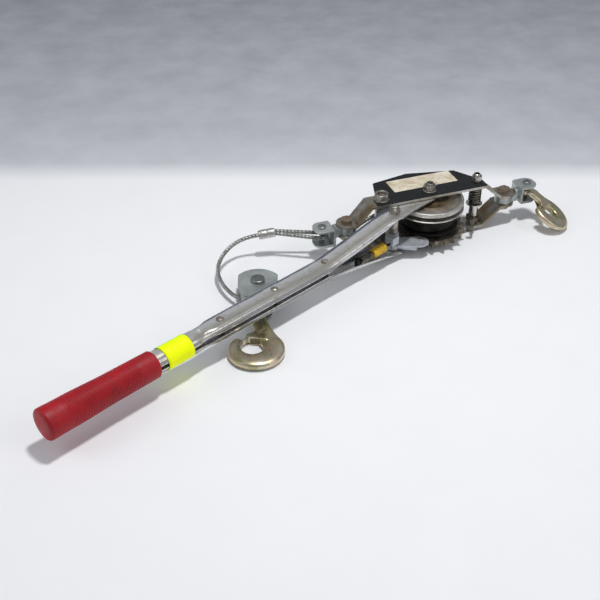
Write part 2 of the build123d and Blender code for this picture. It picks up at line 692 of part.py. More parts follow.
with BuildPart() as grip:
    with BuildSketch(handle_section(GRIP_S[0])):
        with Locations((0, MID_Z)):
            Circle(GRIP_R[0])
    with BuildSketch(handle_section(GRIP_S[1])):
        with Locations((0, MID_Z)):
            Circle(GRIP_R[1])
    loft()
    with BuildSketch(handle_section(GRIP_S[0] - 1)):
        with Locations((0, MID_Z)):
            Circle(TUBE_OUT_R + 0.1)
    extrude(amount=TUBE_END_S + 0.5 - GRIP_S[0] + 1, mode=Mode.SUBTRACT)
save(grip, "grip")

with BuildPart() as sticker:
    with BuildSketch(handle_section(STICKER_S[0])):
        with Locations((0, MID_Z)):
            Circle(TUBE_OUT_R + 0.25)
            Circle(TUBE_OUT_R + 0.05, mode=Mode.SUBTRACT)
    extrude(amount=STICKER_S[1] - STICKER_S[0])
save(sticker, "sticker")

DRIVE_AT = polar(DRIVE_PIN_S, HANDLE_ANGLE)
with BuildPart() as drive_pin:
    hexagon((*DRIVE_AT, 5.0), 12.0, 2.9)
    with Locations((*DRIVE_AT, 5.0)):
        Cylinder(PIN_R, 62.0, align=(Align.CENTER, Align.CENTER, Align.MIN))
    chamfer(drive_pin.faces().sort_by(Axis.Z)[-1].edges(), 0.8)
save(drive_pin, "drive_pin")

with BuildPart() as drive_nut:
    nut((*DRIVE_AT, ARM_TOP_Z), 12.0, PIN_R + CLEARANCE, 6.6)
save(drive_nut, "drive_nut")

SLEEVE_Z = 32.0
with BuildPart() as drive_sleeve:
    with Locations((*DRIVE_AT, SLEEVE_Z)):
        disc(5.6, PIN_R + CLEARANCE, ARM_TOP_Z - ARM_THICK - SLEEVE_Z)
save(drive_sleeve, "drive_sleeve")

# Spring rod of the driving pawl, beside the handle's centreline inside the fork
ROD_T, ROD_Z = 9.0, 26.0
POST_S = 134.0
POST_Z = 20.0


def along_handle(s0, s1, t, z, radius, bore=0.0):
    """Round bar or tube parallel to the handle."""
    with BuildSketch(handle_section(s0)) as section:
        with Locations((t, z)):
            Circle(radius)
            if bore:
                Circle(bore, mode=Mode.SUBTRACT)
    extrude(section.sketch, amount=s1 - s0)


with BuildPart() as spring_rod:
    along_handle(79.0, POST_S + 4, ROD_T, ROD_Z, 1.6)
    with BuildSketch(handle_plane(POST_Z)):
        with Locations((POST_S, ROD_T)):
            Circle(3.2)
    extrude(amount=ROD_Z + 4.5 - POST_Z)
save(spring_rod, "spring_rod")

with BuildPart() as spring_sleeve:
    along_handle(89.0, 110.0, ROD_T, ROD_Z, 5.6, 1.65)
save(spring_sleeve, "spring_sleeve")

with BuildPart() as drive_spring:
    x, y = polar(1.0, HANDLE_ANGLE)
    start = handle_section(111.3).from_local_coords((ROD_T, ROD_Z, 0))
    coil(start, (x, y, 0), 3.8, 0.9, 18.0, 7)
save(drive_spring, "drive_spring")

# ---------------------------------------------------------------- pawls


def wedge(angle):
    """Sides of a pawl's point in a tooth gap, at its tip and outside the teeth."""
    tip = [polar(PAWL_TIP_R, angle - 2.9), polar(PAWL_TIP_R, angle + 2.9)]
    base = [polar(TOOTH_TIP_R + 1.4, angle + 4.2), polar(TOOTH_TIP_R + 1.4, angle - 4.2)]
    return tip, base


def pawl_outline(angle, pivot, hub_r, lift):
    """Pawl outline, lifted out of mesh by turning about its pivot."""
    tip, base = wedge(angle)
    away = math.degrees(math.atan2(pivot[1], pivot[0])) - angle
    turn = 1 if math.sin(math.radians(away)) > 0 else -1
    heading = math.degrees(math.atan2(pivot[1], pivot[0])) + 90 * turn
    front = polar(hub_r - 0.6, heading - 90 * turn, pivot)
    back = polar(hub_r - 0.6, heading + 90 * turn, pivot)
    near, far = (base[0], base[1]) if turn > 0 else (base[1], base[0])
    start, end = (tip[1], tip[0]) if turn > 0 else (tip[0], tip[1])
    return turned([start, near, back, front, far, end], pivot, lift)


def pawl(name, angle, pivot, lift, hub_top):
    """Pawl finger with its hub round the pivot pin."""
    with BuildPart() as piece:
        with BuildSketch(upright(PAWL_Z)):
            with BuildLine():
                Polyline(*pawl_outline(angle, pivot, 8.0, lift), close=True)
            make_face()
            with Locations(pivot):
                Circle(8.0)
        extrude(amount=PAWL_THICK)
        with Locations((*pivot, PAWL_Z)):
            disc(6.6, 0, hub_top - PAWL_Z)
        if name == "drive_pawl":
            with BuildSketch(handle_plane(PLATE_Z)):
                with BuildLine():
                    Polyline(
                        (DRIVE_PIN_S - 1, -9.5), (DRIVE_PIN_S + 9, 0), (DRIVE_PIN_S + 3, 12),
                        (44, 32), (34, 32), (27.5, 24), (31, 14), (45, 4), close=True,
                    )
                make_face()
                fillet(vertices(), 3.4)
            extrude(amount=PLATE_THICK)
            with BuildSketch(handle_plane(21.0)):
                with Locations((DRIVE_PIN_S + 7, 5.4)):
                    Rectangle(11, 10)
            extrude(amount=SLEEVE_Z - 0.8 - 21.0)
        with Locations((*pivot, MID_Z)):
            Cylinder(PIN_R + CLEARANCE, 80, mode=Mode.SUBTRACT)
    save(piece, name)


pawl("drive_pawl", DRIVE_TIP_ANGLE, DRIVE_AT, -PAWL_LIFT, SLEEVE_Z - 0.3)
pawl("holding_pawl", HOLD_TIP_ANGLE, (PIVOT_X, 0.0), PAWL_LIFT, PLATE_Z - 0.3)

with BuildPart() as pawl_rivet:
    with BuildSketch(handle_plane(PLATE_Z + PLATE_THICK)):
        with Locations((36, 21)):
            Circle(2.6)
    extrude(amount=1.6)
    chamfer(pawl_rivet.faces().sort_by(Axis.Z)[-1].edges(), 0.7)
save(pawl_rivet, "pawl_rivet")


# ---------------------------------------------------------------- pulley block
def cheek(name, z):
    """One side plate of the block, arched over the sheave and drawn in to the hook pin."""
    with BuildPart() as piece:
        with BuildSketch(block_plane(z)):
            with BuildLine():
                Polyline((-12.5, 22.25), (8, 22.25), (44, 15), (54, 10))
                ThreePointArc((54, 10), (56, 0), (54, -10))
                Polyline((54, -10), (44, -15), (8, -22.25), (-12.5, -22.25))
                ThreePointArc((-12.5, -22.25), (-24.6, 0), (-12.5, 22.25))
            make_face()
            fillet(vertices(), 2.0)
            Circle(PIN_R + CLEARANCE, mode=Mode.SUBTRACT)
            with Locations((HOOK_PIN_S, 0)):
                Circle(PIN_R + CLEARANCE, mode=Mode.SUBTRACT)
            with Locations((KEEPER[0], KEEPER[1]), (KEEPER[0], -KEEPER[1])):
                Circle(1.8 + CLEARANCE, mode=Mode.SUBTRACT)
        extrude(amount=CHEEK_THICK)
    save(piece, name)


cheek("block_cheek_lower", CHEEK_LOW_Z)
cheek("block_cheek_upper", CHEEK_TOP_Z - CHEEK_THICK)


def block_pin(name, s, head_r, head):
    """Riveted pin through both cheeks."""
    with BuildPart() as piece:
        with BuildSketch(block_plane(0.0)):
            with Locations((s, 0)):
                Circle(head_r)
        extrude(amount=CHEEK_LOW_Z)
        with BuildSketch(block_plane(CHEEK_LOW_Z)):
            with Locations((s, 0)):
                Circle(PIN_R)
        extrude(amount=CHEEK_TOP_Z - CHEEK_LOW_Z)
        with BuildSketch(block_plane(CHEEK_TOP_Z)):
            with Locations((s, 0)):
                Circle(head_r)
        extrude(amount=head)
        chamfer(piece.faces().sort_by(Axis.Z)[-1].edges(), 0.7)
    save(piece, name)


block_pin("sheave_pin", 0, 8.0, SHEAVE_HEAD)
block_pin("hook_pin", HOOK_PIN_S, 6.0, BLOCK_HEAD)

with BuildPart() as block_keepers:
    for side in (1, -1):
        with BuildSketch(block_plane(CHEEK_LOW_Z + CHEEK_THICK)):
            with Locations((KEEPER[0], side * KEEPER[1])):
                Circle(2.2)
        extrude(amount=CHEEK_TOP_Z - CHEEK_LOW_Z - 2 * CHEEK_THICK)
        with BuildSketch(block_plane(CHEEK_LOW_Z - 1.0)):
            with Locations((KEEPER[0], side * KEEPER[1])):
                Circle(1.8)
        extrude(amount=CHEEK_TOP_Z - CHEEK_LOW_Z + 2.4)
save(block_keepers, "block_keepers")

with BuildPart() as sheave:
    half = SHEAVE_THICK / 2
    with BuildSketch(Plane(origin=(BLOCK_X, BLOCK_Y, ROPE_Z), x_dir=(1, 0, 0), z_dir=(0, -1, 0))):
        with BuildLine():
            Polyline(
                (PIN_R + CLEARANCE, -half), (SHEAVE_R, -half), (SHEAVE_R, -half + 1.1),
                (SHEAVE_ROOT_R, -3.0), (SHEAVE_ROOT_R, 3.0), (SHEAVE_R, half - 1.1),
                (SHEAVE_R, half), (PIN_R + CLEARANCE, half), close=True,
            )
        make_face()
    revolve(axis=Axis((BLOCK_X, BLOCK_Y, 0), (0, 0, 1)))
save(sheave, "sheave")


# ---------------------------------------------------------------- wire rope
def bend_radii(route):
    """Largest arc radius that the two runs at each inner point of a route allow."""
    radii = []
    for before, here, after in zip(route, route[1:], route[2:]):
        a, b, c = Vector(*before), Vector(*here), Vector(*after)
        turn = math.radians((b - a).get_angle(c - b))
        radii.append(0.45 * min((b - a).length, (c - b).length) / math.tan(turn / 2))
    return radii


def rope(name, route):
    """Round rope along straight runs joined by tangent arcs."""
    radii = bend_radii(route)
    with BuildPart() as piece:
        with BuildLine() as path:
            FilletPolyline(*route, radius=radii)
        with BuildSketch(Plane(origin=route[0], z_dir=Vector(*route[1]) - Vector(*route[0]))):
            Circle(ROPE_D / 2)
        sweep(path=path.wires()[0])
    length = path.wires()[0].length
    expected = math.pi * ROPE_D**2 / 4 * length
    print(name, "radii", [round(r, 1) for r in radii])
    print(name, "length", round(length, 1), "volume share", round(piece.part.volume / expected, 4))
    save(piece, name)


rope("wire_rope", ROUTE)

EYE_WRAP_R = 6.3
cable_pin_at = (END_BOLT_X[0] - CLEVIS_PIN_X, 0.0)
away = math.degrees(math.atan2(FERRULE[0][1] - cable_pin_at[1], FERRULE[0][0] - cable_pin_at[0]))
eye_z = MID_Z - CRANK


def strand(side):
    """Route of one side of the rope's eye, from the ferrule to beside the clevis pin."""
    beside = polar(5.9, away + side * 90, cable_pin_at)
    near = polar(9.0, away, beside)
    middle = ((near[0] + FERRULE[0][0]) / 2, (near[1] + FERRULE[0][1]) / 2)
    swell = polar(1.0, away + side * 90, middle)
    start = polar(2.5, away + side * 90, FERRULE[0][:2])
    return [(*start, FERRULE[0][2]), (*swell, eye_z + 1.2), (*near, eye_z)]


wrap = [
    (*polar(EYE_WRAP_R, away - 90 - 22.5 - 45 * k, cable_pin_at), eye_z) for k in range(4)
]
EYE_ROUTE = strand(-1) + wrap + strand(1)[::-1]
rope("rope_eye", EYE_ROUTE)

with BuildPart() as ferrule:
    axis = Vector(*FERRULE[1]) - Vector(*FERRULE[0])
    with BuildSketch(Plane(origin=FERRULE[0], z_dir=axis)):
        Circle(FERRULE_R)
    extrude(amount=axis.length)
save(ferrule, "ferrule")
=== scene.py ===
import json
import math

import bmesh
import bpy
from mathutils import Matrix, Vector

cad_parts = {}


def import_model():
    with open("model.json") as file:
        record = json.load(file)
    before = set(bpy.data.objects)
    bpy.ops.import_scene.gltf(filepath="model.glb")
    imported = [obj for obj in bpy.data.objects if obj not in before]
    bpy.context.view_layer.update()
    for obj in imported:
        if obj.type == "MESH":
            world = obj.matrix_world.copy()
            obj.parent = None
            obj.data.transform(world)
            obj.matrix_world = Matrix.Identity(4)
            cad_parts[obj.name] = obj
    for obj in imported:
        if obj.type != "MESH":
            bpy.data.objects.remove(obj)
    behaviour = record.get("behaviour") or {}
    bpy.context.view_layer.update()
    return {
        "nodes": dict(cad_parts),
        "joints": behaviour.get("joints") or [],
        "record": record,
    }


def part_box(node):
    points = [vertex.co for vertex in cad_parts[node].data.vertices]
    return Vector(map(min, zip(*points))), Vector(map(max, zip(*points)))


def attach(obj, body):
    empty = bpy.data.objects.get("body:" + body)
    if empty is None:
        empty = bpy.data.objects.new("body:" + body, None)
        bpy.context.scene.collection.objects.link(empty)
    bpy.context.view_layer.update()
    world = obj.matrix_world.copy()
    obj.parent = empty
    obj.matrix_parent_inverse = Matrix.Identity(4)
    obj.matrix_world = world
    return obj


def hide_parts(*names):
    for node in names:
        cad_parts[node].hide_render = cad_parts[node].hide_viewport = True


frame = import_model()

MM = 0.001
BODY_OF = {n: b for b, ns in frame["record"]["behaviour"]["bodies"].items() for n in ns}


# ------------------------------------------------------------------ places from the frame
def box(node):
    """Lowest and highest corner of a CAD node in millimetres."""
    low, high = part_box(node)
    return low / MM, high / MM


def middle(node):
    """Middle of a CAD node's box in millimetres."""
    low, high = box(node)
    return (low + high) / 2


def joint_at(name):
    """A joint's place in millimetres."""
    return Vector(next(j["pos_m"] for j in frame["joints"] if j["name"] == name)) / MM


MID_Z = middle("frame_spacer").z
DRIVE_PIN = joint_at("drive_pawl_pivot")
HANDLE_TURN = math.atan2(DRIVE_PIN.y, DRIVE_PIN.x)
PIVOT = joint_at("holding_pawl_pivot")
SHEAVE = middle("sheave")
HOOK_PIN = middle("hook_pin")
ANCHOR_PIN = middle("anchor_pin")
CABLE_PIN = middle("cable_pin")


def polar(radius, angle, centre=(0.0, 0.0)):
    """Point at a radius and an angle round a centre."""
    return (centre[0] + radius * math.cos(angle), centre[1] + radius * math.sin(angle))


def on_handle(s, t, z):
    """Point s along the handle from the axle, t to its front side, at a height."""
    c, n = math.cos(HANDLE_TURN), math.sin(HANDLE_TURN)
    return Vector((c * s - n * t, n * s + c * t, z))


# ------------------------------------------------------------------ materials
class Paint:
    """One node material: a Principled surface with small builders for its inputs."""

    def __init__(self, name, **uniform):
        self.material = bpy.data.materials.new(name)
        self.material.use_nodes = True
        self.tree = self.material.node_tree
        self.tree.nodes.clear()
        self.out = self.node("ShaderNodeOutputMaterial")
        self.shader = self.node("ShaderNodeBsdfPrincipled")
        self.link(self.shader.outputs[0], self.out.inputs[0])
        self.coords = self.node("ShaderNodeTexCoord").outputs["Object"]
        for key, value in uniform.items():
            self.shader.inputs[key.replace("_", " ")].default_value = value

    def node(self, kind, **settings):
        made = self.tree.nodes.new(kind)
        for key, value in settings.items():
            setattr(made, key, value)
        return made

    def link(self, a, b):
        self.tree.links.new(a, b)

    def put(self, socket, source):
        self.link(source, self.shader.inputs[socket])

    def mapped(self, turn=0.0, stretch=(1, 1, 1)):
        """Object coordinates turned about Z, then stretched."""
        first = self.node("ShaderNodeMapping", vector_type="POINT")
        first.inputs["Rotation"].default_value = (0, 0, -turn)
        self.link(self.coords, first.inputs["Vector"])
        second = self.node("ShaderNodeMapping", vector_type="POINT")
        second.inputs["Scale"].default_value = stretch
        self.link(first.outputs[0], second.inputs["Vector"])
        return second.outputs[0]

    def noise(self, scale, detail=4.0, rough=0.55, vector=None, distort=0.0):
        made = self.node("ShaderNodeTexNoise")
        made.inputs["Scale"].default_value = scale
        made.inputs["Detail"].default_value = detail
        made.inputs["Roughness"].default_value = rough
        made.inputs["Distortion"].default_value = distort
        self.link(vector or self.coords, made.inputs["Vector"])
        return made.outputs["Fac"]

    def pits(self, scale):
        made = self.node("ShaderNodeTexVoronoi")
        made.inputs["Scale"].default_value = scale
        self.link(self.coords, made.inputs["Vector"])
        return made.outputs["Distance"]

    def ramp(self, source, *stops):
        """Stops are (position, grey or colour)."""
        made = self.node("ShaderNodeValToRGB")
        marks = made.color_ramp.elements
        while len(marks) < len(stops):
            marks.new(0.5)
        for mark, (place, shade) in zip(marks, stops):
            mark.position = place
            mark.color = (*shade, 1) if isinstance(shade, tuple) else (shade, shade, shade, 1)
        self.link(source, made.inputs["Fac"])
        return made.outputs["Color"]

    def mix(self, share, a, b):
        """Colour a where share is 0 and b where it is 1; each is a socket or a colour."""
        made = self.node("ShaderNodeMix", data_type="RGBA")
        self.link(share, made.inputs[0])
        for socket, value in ((made.inputs[6], a), (made.inputs[7], b)):
            if isinstance(value, tuple):
                socket.default_value = (*value, 1)
            else:
                self.link(value, socket)
        return made.outputs[2]

    def maths(self, kind, a, b=0.0, c=0.5):
        """Arithmetic on sockets or numbers; only MULTIPLY_ADD uses c, which it adds."""
        made = self.node("ShaderNodeMath", operation=kind)
        for socket, value in zip(made.inputs, (a, b, c)):
            if isinstance(value, (int, float)):
                socket.default_value = value
            else:
                self.link(value, socket)
        return made.outputs[0]

    def axis(self, which, vector=None):
        made = self.node("ShaderNodeSeparateXYZ")
        self.link(vector or self.coords, made.inputs[0])
        return made.outputs[which]

    def from_axle(self):
        """Distance in metres from the drum's axis."""
        flat = self.mapped(stretch=(1, 1, 0))
        made = self.node("ShaderNodeVectorMath", operation="LENGTH")
        self.link(flat, made.inputs[0])
        return made.outputs["Value"]

    def bump(self, height, strength):
        made = self.node("ShaderNodeBump")
        made.inputs["Strength"].default_value = strength
        made.inputs["Distance"].default_value = 0.0004
        self.link(height, made.inputs["Height"])
        self.put("Normal", made.outputs[0])


def metal(name, dark, light, rough, scale, dirt, dirt_share, dirt_scale=28.0, metallic=1.0):
    """Worn metal: mottled colour, uneven gloss, fine grain and patches of dirt or rust."""
    paint = Paint(name, Metallic=metallic)
    colour = paint.ramp(paint.noise(scale, 6, 0.65), (0.32, dark), (0.66, light))
    fine = paint.noise(260, 5, 0.7)
    gloss = paint.ramp(paint.noise(scale * 1.7, 5, 0.7), (0.3, rough[0]), (0.72, rough[1]))
    patch = paint.noise(dirt_scale, 8, 0.68, distort=0.6)
    clean_at, dirty_at = 1 - dirt_share - 0.06, 1 - dirt_share + 0.16
    share = paint.ramp(patch, (clean_at, 0.0), (dirty_at, 1.0))
    grime = paint.mix(fine, tuple(c * 0.6 for c in dirt), dirt)
    paint.put("Base Color", paint.mix(share, colour, grime))
    paint.put("Roughness", paint.mix(share, gloss, (0.75, 0.75, 0.75)))
    paint.put("Metallic", paint.ramp(patch, (clean_at, metallic), (dirty_at, metallic * 0.25)))
    paint.bump(fine, 0.12)
    return paint.material


def across_handle(paint):
    """Ramp position across the handle: 0 about 15 mm to its far side, 1 about 15 mm to its front."""
    return paint.maths("MULTIPLY_ADD", paint.axis(1, paint.mapped(HANDLE_TURN)), 33.0)


def chrome():
    """Nickel chrome on the handle, with painted light: a painted dark reflection along the far edge, a
    painted bright top, a darker front half of painted shade, and painted bright rims over shaded side walls
    at the front; the brown specks and rust pits are real wear.
    """
    paint = Paint("chrome_worn_painted_light", Metallic=0.72)
    across = across_handle(paint)
    place = paint.maths("ADD", across, paint.maths("MULTIPLY", paint.noise(26, 6, 0.7), 0.22))
    # Painted reflection and shade across the handle: dark far edge, bright top, darker front half.
    painted_light_band = paint.ramp(place, (0.29, (0.12, 0.14, 0.19)), (0.375, (0.19, 0.21, 0.26)),
                      (0.435, (0.80, 0.81, 0.83)), (0.62, (0.70, 0.69, 0.66)),
                      (0.82, (0.50, 0.48, 0.43)), (0.95, (0.56, 0.54, 0.50)))
    scuff = paint.noise(1.0, 8, 0.72, vector=paint.mapped(HANDLE_TURN, (14, 160, 160)))
    lift = paint.maths("ABSOLUTE", paint.maths("SUBTRACT", paint.axis(2), MID_Z * MM))
    centimetres = paint.maths("MULTIPLY", lift, 100.0)
    # Painted light on the front walls: a painted highlight on the rims by the gap, then painted shade on the
    # walls, lightening towards the top corner.
    wall = paint.ramp(centimetres, (0.30, (0.82, 0.82, 0.82)), (0.38, (0.22, 0.22, 0.23)),
                      (0.70, (0.34, 0.34, 0.34)), (0.86, (0.62, 0.62, 0.62)))
    painted_light_band = paint.mix(paint.ramp(across, (0.84, 0.0), (0.885, 1.0)), painted_light_band, wall)
    speck = paint.ramp(paint.noise(210, 8, 0.78), (0.50, 0.0), (0.64, 0.6))
    pit = paint.ramp(paint.pits(330), (0.10, 1.0), (0.2, 0.0))
    where = paint.ramp(paint.noise(22, 6, 0.7), (0.52, 0.0), (0.64, 1.0))
    rust = paint.maths("MULTIPLY", pit, where)
    colour = paint.mix(speck, painted_light_band, (0.22, 0.19, 0.14))
    paint.put("Base Color", paint.mix(rust, colour, (0.10, 0.06, 0.03)))
    gloss = paint.ramp(scuff, (0.35, 0.14), (0.75, 0.36))
    gloss = paint.mix(speck, gloss, (0.52, 0.52, 0.52))
    paint.put("Roughness", paint.mix(rust, gloss, (0.8, 0.8, 0.8)))
    paint.bump(paint.noise(420, 4, 0.7), 0.06)
    return paint.material


def gold_zinc():
    """Yellow passivated zinc: gold with greenish and rosy clouds, rubbed silver in places."""
    paint = Paint("gold_passivated", Metallic=1.0)
    cloud = paint.noise(34, 5, 0.6, distort=0.8)
    colour = paint.ramp(cloud, (0.28, (0.26, 0.25, 0.15)), (0.42, (0.46, 0.41, 0.24)),
                        (0.53, (0.62, 0.53, 0.36)), (0.63, (0.66, 0.50, 0.38)), (0.74, (0.50, 0.48, 0.32)))
    rub = paint.ramp(paint.noise(70, 8, 0.72), (0.50, 0.0), (0.66, 0.8))
    paint.put("Base Color", paint.mix(rub, colour, (0.66, 0.64, 0.56)))
    paint.put("Roughness", paint.ramp(paint.noise(95, 6, 0.7), (0.3, 0.22), (0.7, 0.46)))
    paint.bump(paint.noise(150, 6, 0.65), 0.22)
    return paint.material


def strap_zinc():
    """Old zinc plate on the straps: grey, with bronze-brown patches on the slopes and towards the edges,
    partly patina and partly painted shade.
    """
    paint = Paint("strap_zinc", Metallic=0.9)
    base = paint.ramp(paint.noise(60, 7, 0.7), (0.3, (0.34, 0.34, 0.31)), (0.68, (0.60, 0.60, 0.57)))
    patch = paint.noise(30, 8, 0.7, distort=0.5)
    bronze = paint.ramp(patch, (0.34, 0.0), (0.54, 0.95))
    x = paint.axis(0)
    # Painted shade, partly patina: the brown patches are kept to the slopes by distance along x.
    slope_shade = paint.ramp(paint.maths("ABSOLUTE", x), (0.062, 0.3), (0.080, 1.0), (0.099, 0.95),
                       (0.112, 0.75))
    share = paint.maths("MULTIPLY", bronze, slope_shade)
    brown = paint.mix(paint.noise(120, 6, 0.7), (0.10, 0.065, 0.03), (0.34, 0.25, 0.13))
    paint.put("Base Color", paint.mix(share, base, brown))
    paint.put("Roughness", paint.ramp(paint.noise(110, 6, 0.7), (0.3, 0.28), (0.7, 0.52)))
    paint.bump(paint.noise(240, 6, 0.7), 0.16)
    return paint.material


def drum_metal():
    """Drum cap: bright rolled rim, greasy rust-brown in the dish."""
    paint = Paint("drum_rolled", Metallic=0.85)
    away = paint.from_axle()
    wobble = paint.maths("ADD", away, paint.maths("MULTIPLY", paint.noise(60, 6, 0.7), 0.012))
    share = paint.ramp(wobble, (0.030, 1.0), (0.043, 0.0))
    rim = paint.ramp(paint.noise(70, 7, 0.7), (0.3, (0.30, 0.28, 0.25)), (0.66, (0.62, 0.60, 0.56)))
    dish = paint.ramp(paint.noise(46, 8, 0.72), (0.3, (0.07, 0.045, 0.022)), (0.5, (0.24, 0.17, 0.09)),
                      (0.7, (0.40, 0.37, 0.32)))
    paint.put("Base Color", paint.mix(share, rim, dish))
    paint.put("Roughness", paint.ramp(paint.noise(80, 6, 0.7), (0.3, 0.3), (0.7, 0.55)))
    paint.bump(paint.noise(200, 6, 0.7), 0.25)
    return paint.material


def black_paint():
    """Satin black guard plate with dust and fine rub marks."""
    paint = Paint("guard_black", Metallic=0.0, Specular_IOR_Level=0.25)
    dust = paint.ramp(paint.noise(38, 8, 0.75), (0.50, 0.0), (0.82, 0.5))
    paint.put("Base Color", paint.mix(dust, (0.008, 0.009, 0.010), (0.045, 0.044, 0.040)))
    paint.put("Roughness", paint.ramp(paint.noise(60, 6, 0.7), (0.3, 0.30), (0.7, 0.5)))
    paint.bump(paint.noise(500, 3, 0.6), 0.05)
    return paint.material


def label_paper():
    """Cream label, stained brown and worn, with a blank field."""
    paint = Paint("label_cream", Metallic=0.0)
    stain = paint.ramp(paint.noise(55, 8, 0.75, distort=0.7), (0.44, 0.0), (0.68, 1.0))
    cream = paint.ramp(paint.noise(25, 5, 0.6), (0.3, (0.62, 0.56, 0.42)), (0.7, (0.80, 0.76, 0.64)))
    rub = paint.ramp(paint.noise(150, 8, 0.8), (0.60, 0.0), (0.72, 0.7))
    colour = paint.mix(stain, cream, (0.42, 0.31, 0.17))
    paint.put("Base Color", paint.mix(rub, colour, (0.10, 0.075, 0.05)))
    paint.put("Roughness", paint.ramp(paint.noise(80, 4, 0.6), (0.3, 0.32), (0.7, 0.55)))
    paint.bump(paint.noise(160, 5, 0.7), 0.08)
    return paint.material


def red_vinyl():
    """Soft red grip with grime in its low places."""
    paint = Paint("grip_red", Metallic=0.0, Specular_IOR_Level=0.32)
    cloud = paint.noise(22, 6, 0.65)
    red = paint.ramp(cloud, (0.3, (0.26, 0.004, 0.010)), (0.7, (0.44, 0.006, 0.014)))
    grime = paint.ramp(paint.noise(48, 8, 0.75), (0.54, 0.0), (0.76, 0.75))
    paint.put("Base Color", paint.mix(grime, red, (0.15, 0.010, 0.012)))
    paint.put("Roughness", paint.ramp(paint.noise(40, 6, 0.7), (0.3, 0.38), (0.7, 0.60)))
    paint.bump(paint.noise(300, 5, 0.7), 0.1)
    return paint.material


def yellow_film():
    """Blank fluorescent sticker, slightly creased, with a painted glow from its emission and painted shade,
    greener and darker, on its far side.
    """
    # The emission is a painted glow: the sticker is no lamp.
    paint = Paint("sticker_yellow_painted_glow", Metallic=0.0, Specular_IOR_Level=0.15, Emission_Strength=0.16)
    place = paint.maths("ADD", across_handle(paint), paint.maths("MULTIPLY", paint.noise(60, 6, 0.65), 0.1))
    # Painted shade: greener and darker towards the handle's far side.
    shade = paint.ramp(place, (0.26, (0.18, 0.62, 0.002)), (0.40, (0.70, 0.88, 0.001)),
                       (0.80, (0.84, 0.92, 0.001)))
    grey = paint.ramp(paint.noise(130, 8, 0.8), (0.60, 0.0), (0.76, 0.35))
    colour = paint.mix(grey, shade, (0.46, 0.52, 0.02))
    paint.put("Base Color", colour)
    paint.put("Emission Color", colour)
    paint.put("Roughness", paint.ramp(paint.noise(40, 4, 0.6), (0.3, 0.4), (0.7, 0.6)))
    paint.bump(paint.noise(110, 5, 0.6), 0.12)
    return paint.material


def yellow_plastic():
    """Moulded yellow sleeve, smeared with grease."""
    paint = Paint("sleeve_yellow", Metallic=0.0)
    grease = paint.ramp(paint.noise(75, 8, 0.75), (0.47, 0.0), (0.66, 0.9))
    yellow = paint.ramp(paint.noise(40, 5, 0.6), (0.3, (0.62, 0.34, 0.004)), (0.7, (0.80, 0.50, 0.006)))
    paint.put("Base Color", paint.mix(grease, yellow, (0.13, 0.09, 0.03)))
    paint.put("Roughness", paint.ramp(paint.noise(60, 5, 0.6), (0.3, 0.35), (0.7, 0.6)))
    paint.bump(paint.noise(200, 5, 0.6), 0.12)
    return paint.material


def floor_paper():
    """Pale paper sweep, with painted shade that greys it in the distance behind the object."""
    paint = Paint("floor_paper", Metallic=0.0)
    view_turn = math.radians(-20.4)
    far = paint.axis(1, paint.mapped(view_turn))
    far = paint.maths("ADD", far, paint.maths("MULTIPLY", paint.noise(5, 5, 0.6), 0.012))
    # Painted shade: the floor darkens with distance along the camera's heading.
    distance_shade = paint.ramp(far, (0.146, (0.88, 0.885, 0.90)), (0.169, (0.72, 0.735, 0.76)),
                      (0.195, (0.52, 0.535, 0.565)), (0.30, (0.43, 0.445, 0.48)), (0.9, (0.32, 0.335, 0.365)))
    grain = paint.ramp(paint.noise(14, 6, 0.6), (0.3, 0.0), (0.7, 0.25))
    paint.put("Base Color", paint.mix(grain, distance_shade, (0.80, 0.81, 0.84)))
    paint.put("Roughness", paint.ramp(paint.noise(30, 4, 0.6), (0.3, 0.55), (0.7, 0.7)))
    return paint.material


STRAP = strap_zinc()
CHROME = chrome()
GOLD = gold_zinc()
CAP = drum_metal()
BLACK = black_paint()
LABEL = label_paper()
RED = red_vinyl()
FILM = yellow_film()
SLEEVE = yellow_plastic()
ZINC = metal("zinc_grey_green", (0.34, 0.37, 0.36), (0.56, 0.60, 0.58), (0.30, 0.50), 40,
             (0.20, 0.17, 0.12), 0.34, metallic=0.8)
STEM = metal("pin_dark", (0.20, 0.21, 0.20), (0.38, 0.39, 0.37), (0.26, 0.46), 60,
             (0.14, 0.11, 0.08), 0.40)
BRIGHT = metal("zinc_bright", (0.46, 0.44, 0.40), (0.74, 0.73, 0.70), (0.18, 0.38), 70,
               (0.25, 0.16, 0.09), 0.34)
PLATE = metal("zinc_blue", (0.40, 0.43, 0.46), (0.60, 0.63, 0.66), (0.30, 0.46), 60,
              (0.16, 0.13, 0.09), 0.26, metallic=0.5)
BOLT = metal("bolt_dull", (0.22, 0.20, 0.17), (0.58, 0.56, 0.52), (0.18, 0.42), 90,
             (0.13, 0.08, 0.045), 0.48, 70)
RUST = metal("bolt_rusty", (0.18, 0.14, 0.10), (0.46, 0.41, 0.34), (0.25, 0.5), 110,
             (0.13, 0.06, 0.03), 0.52, 60)
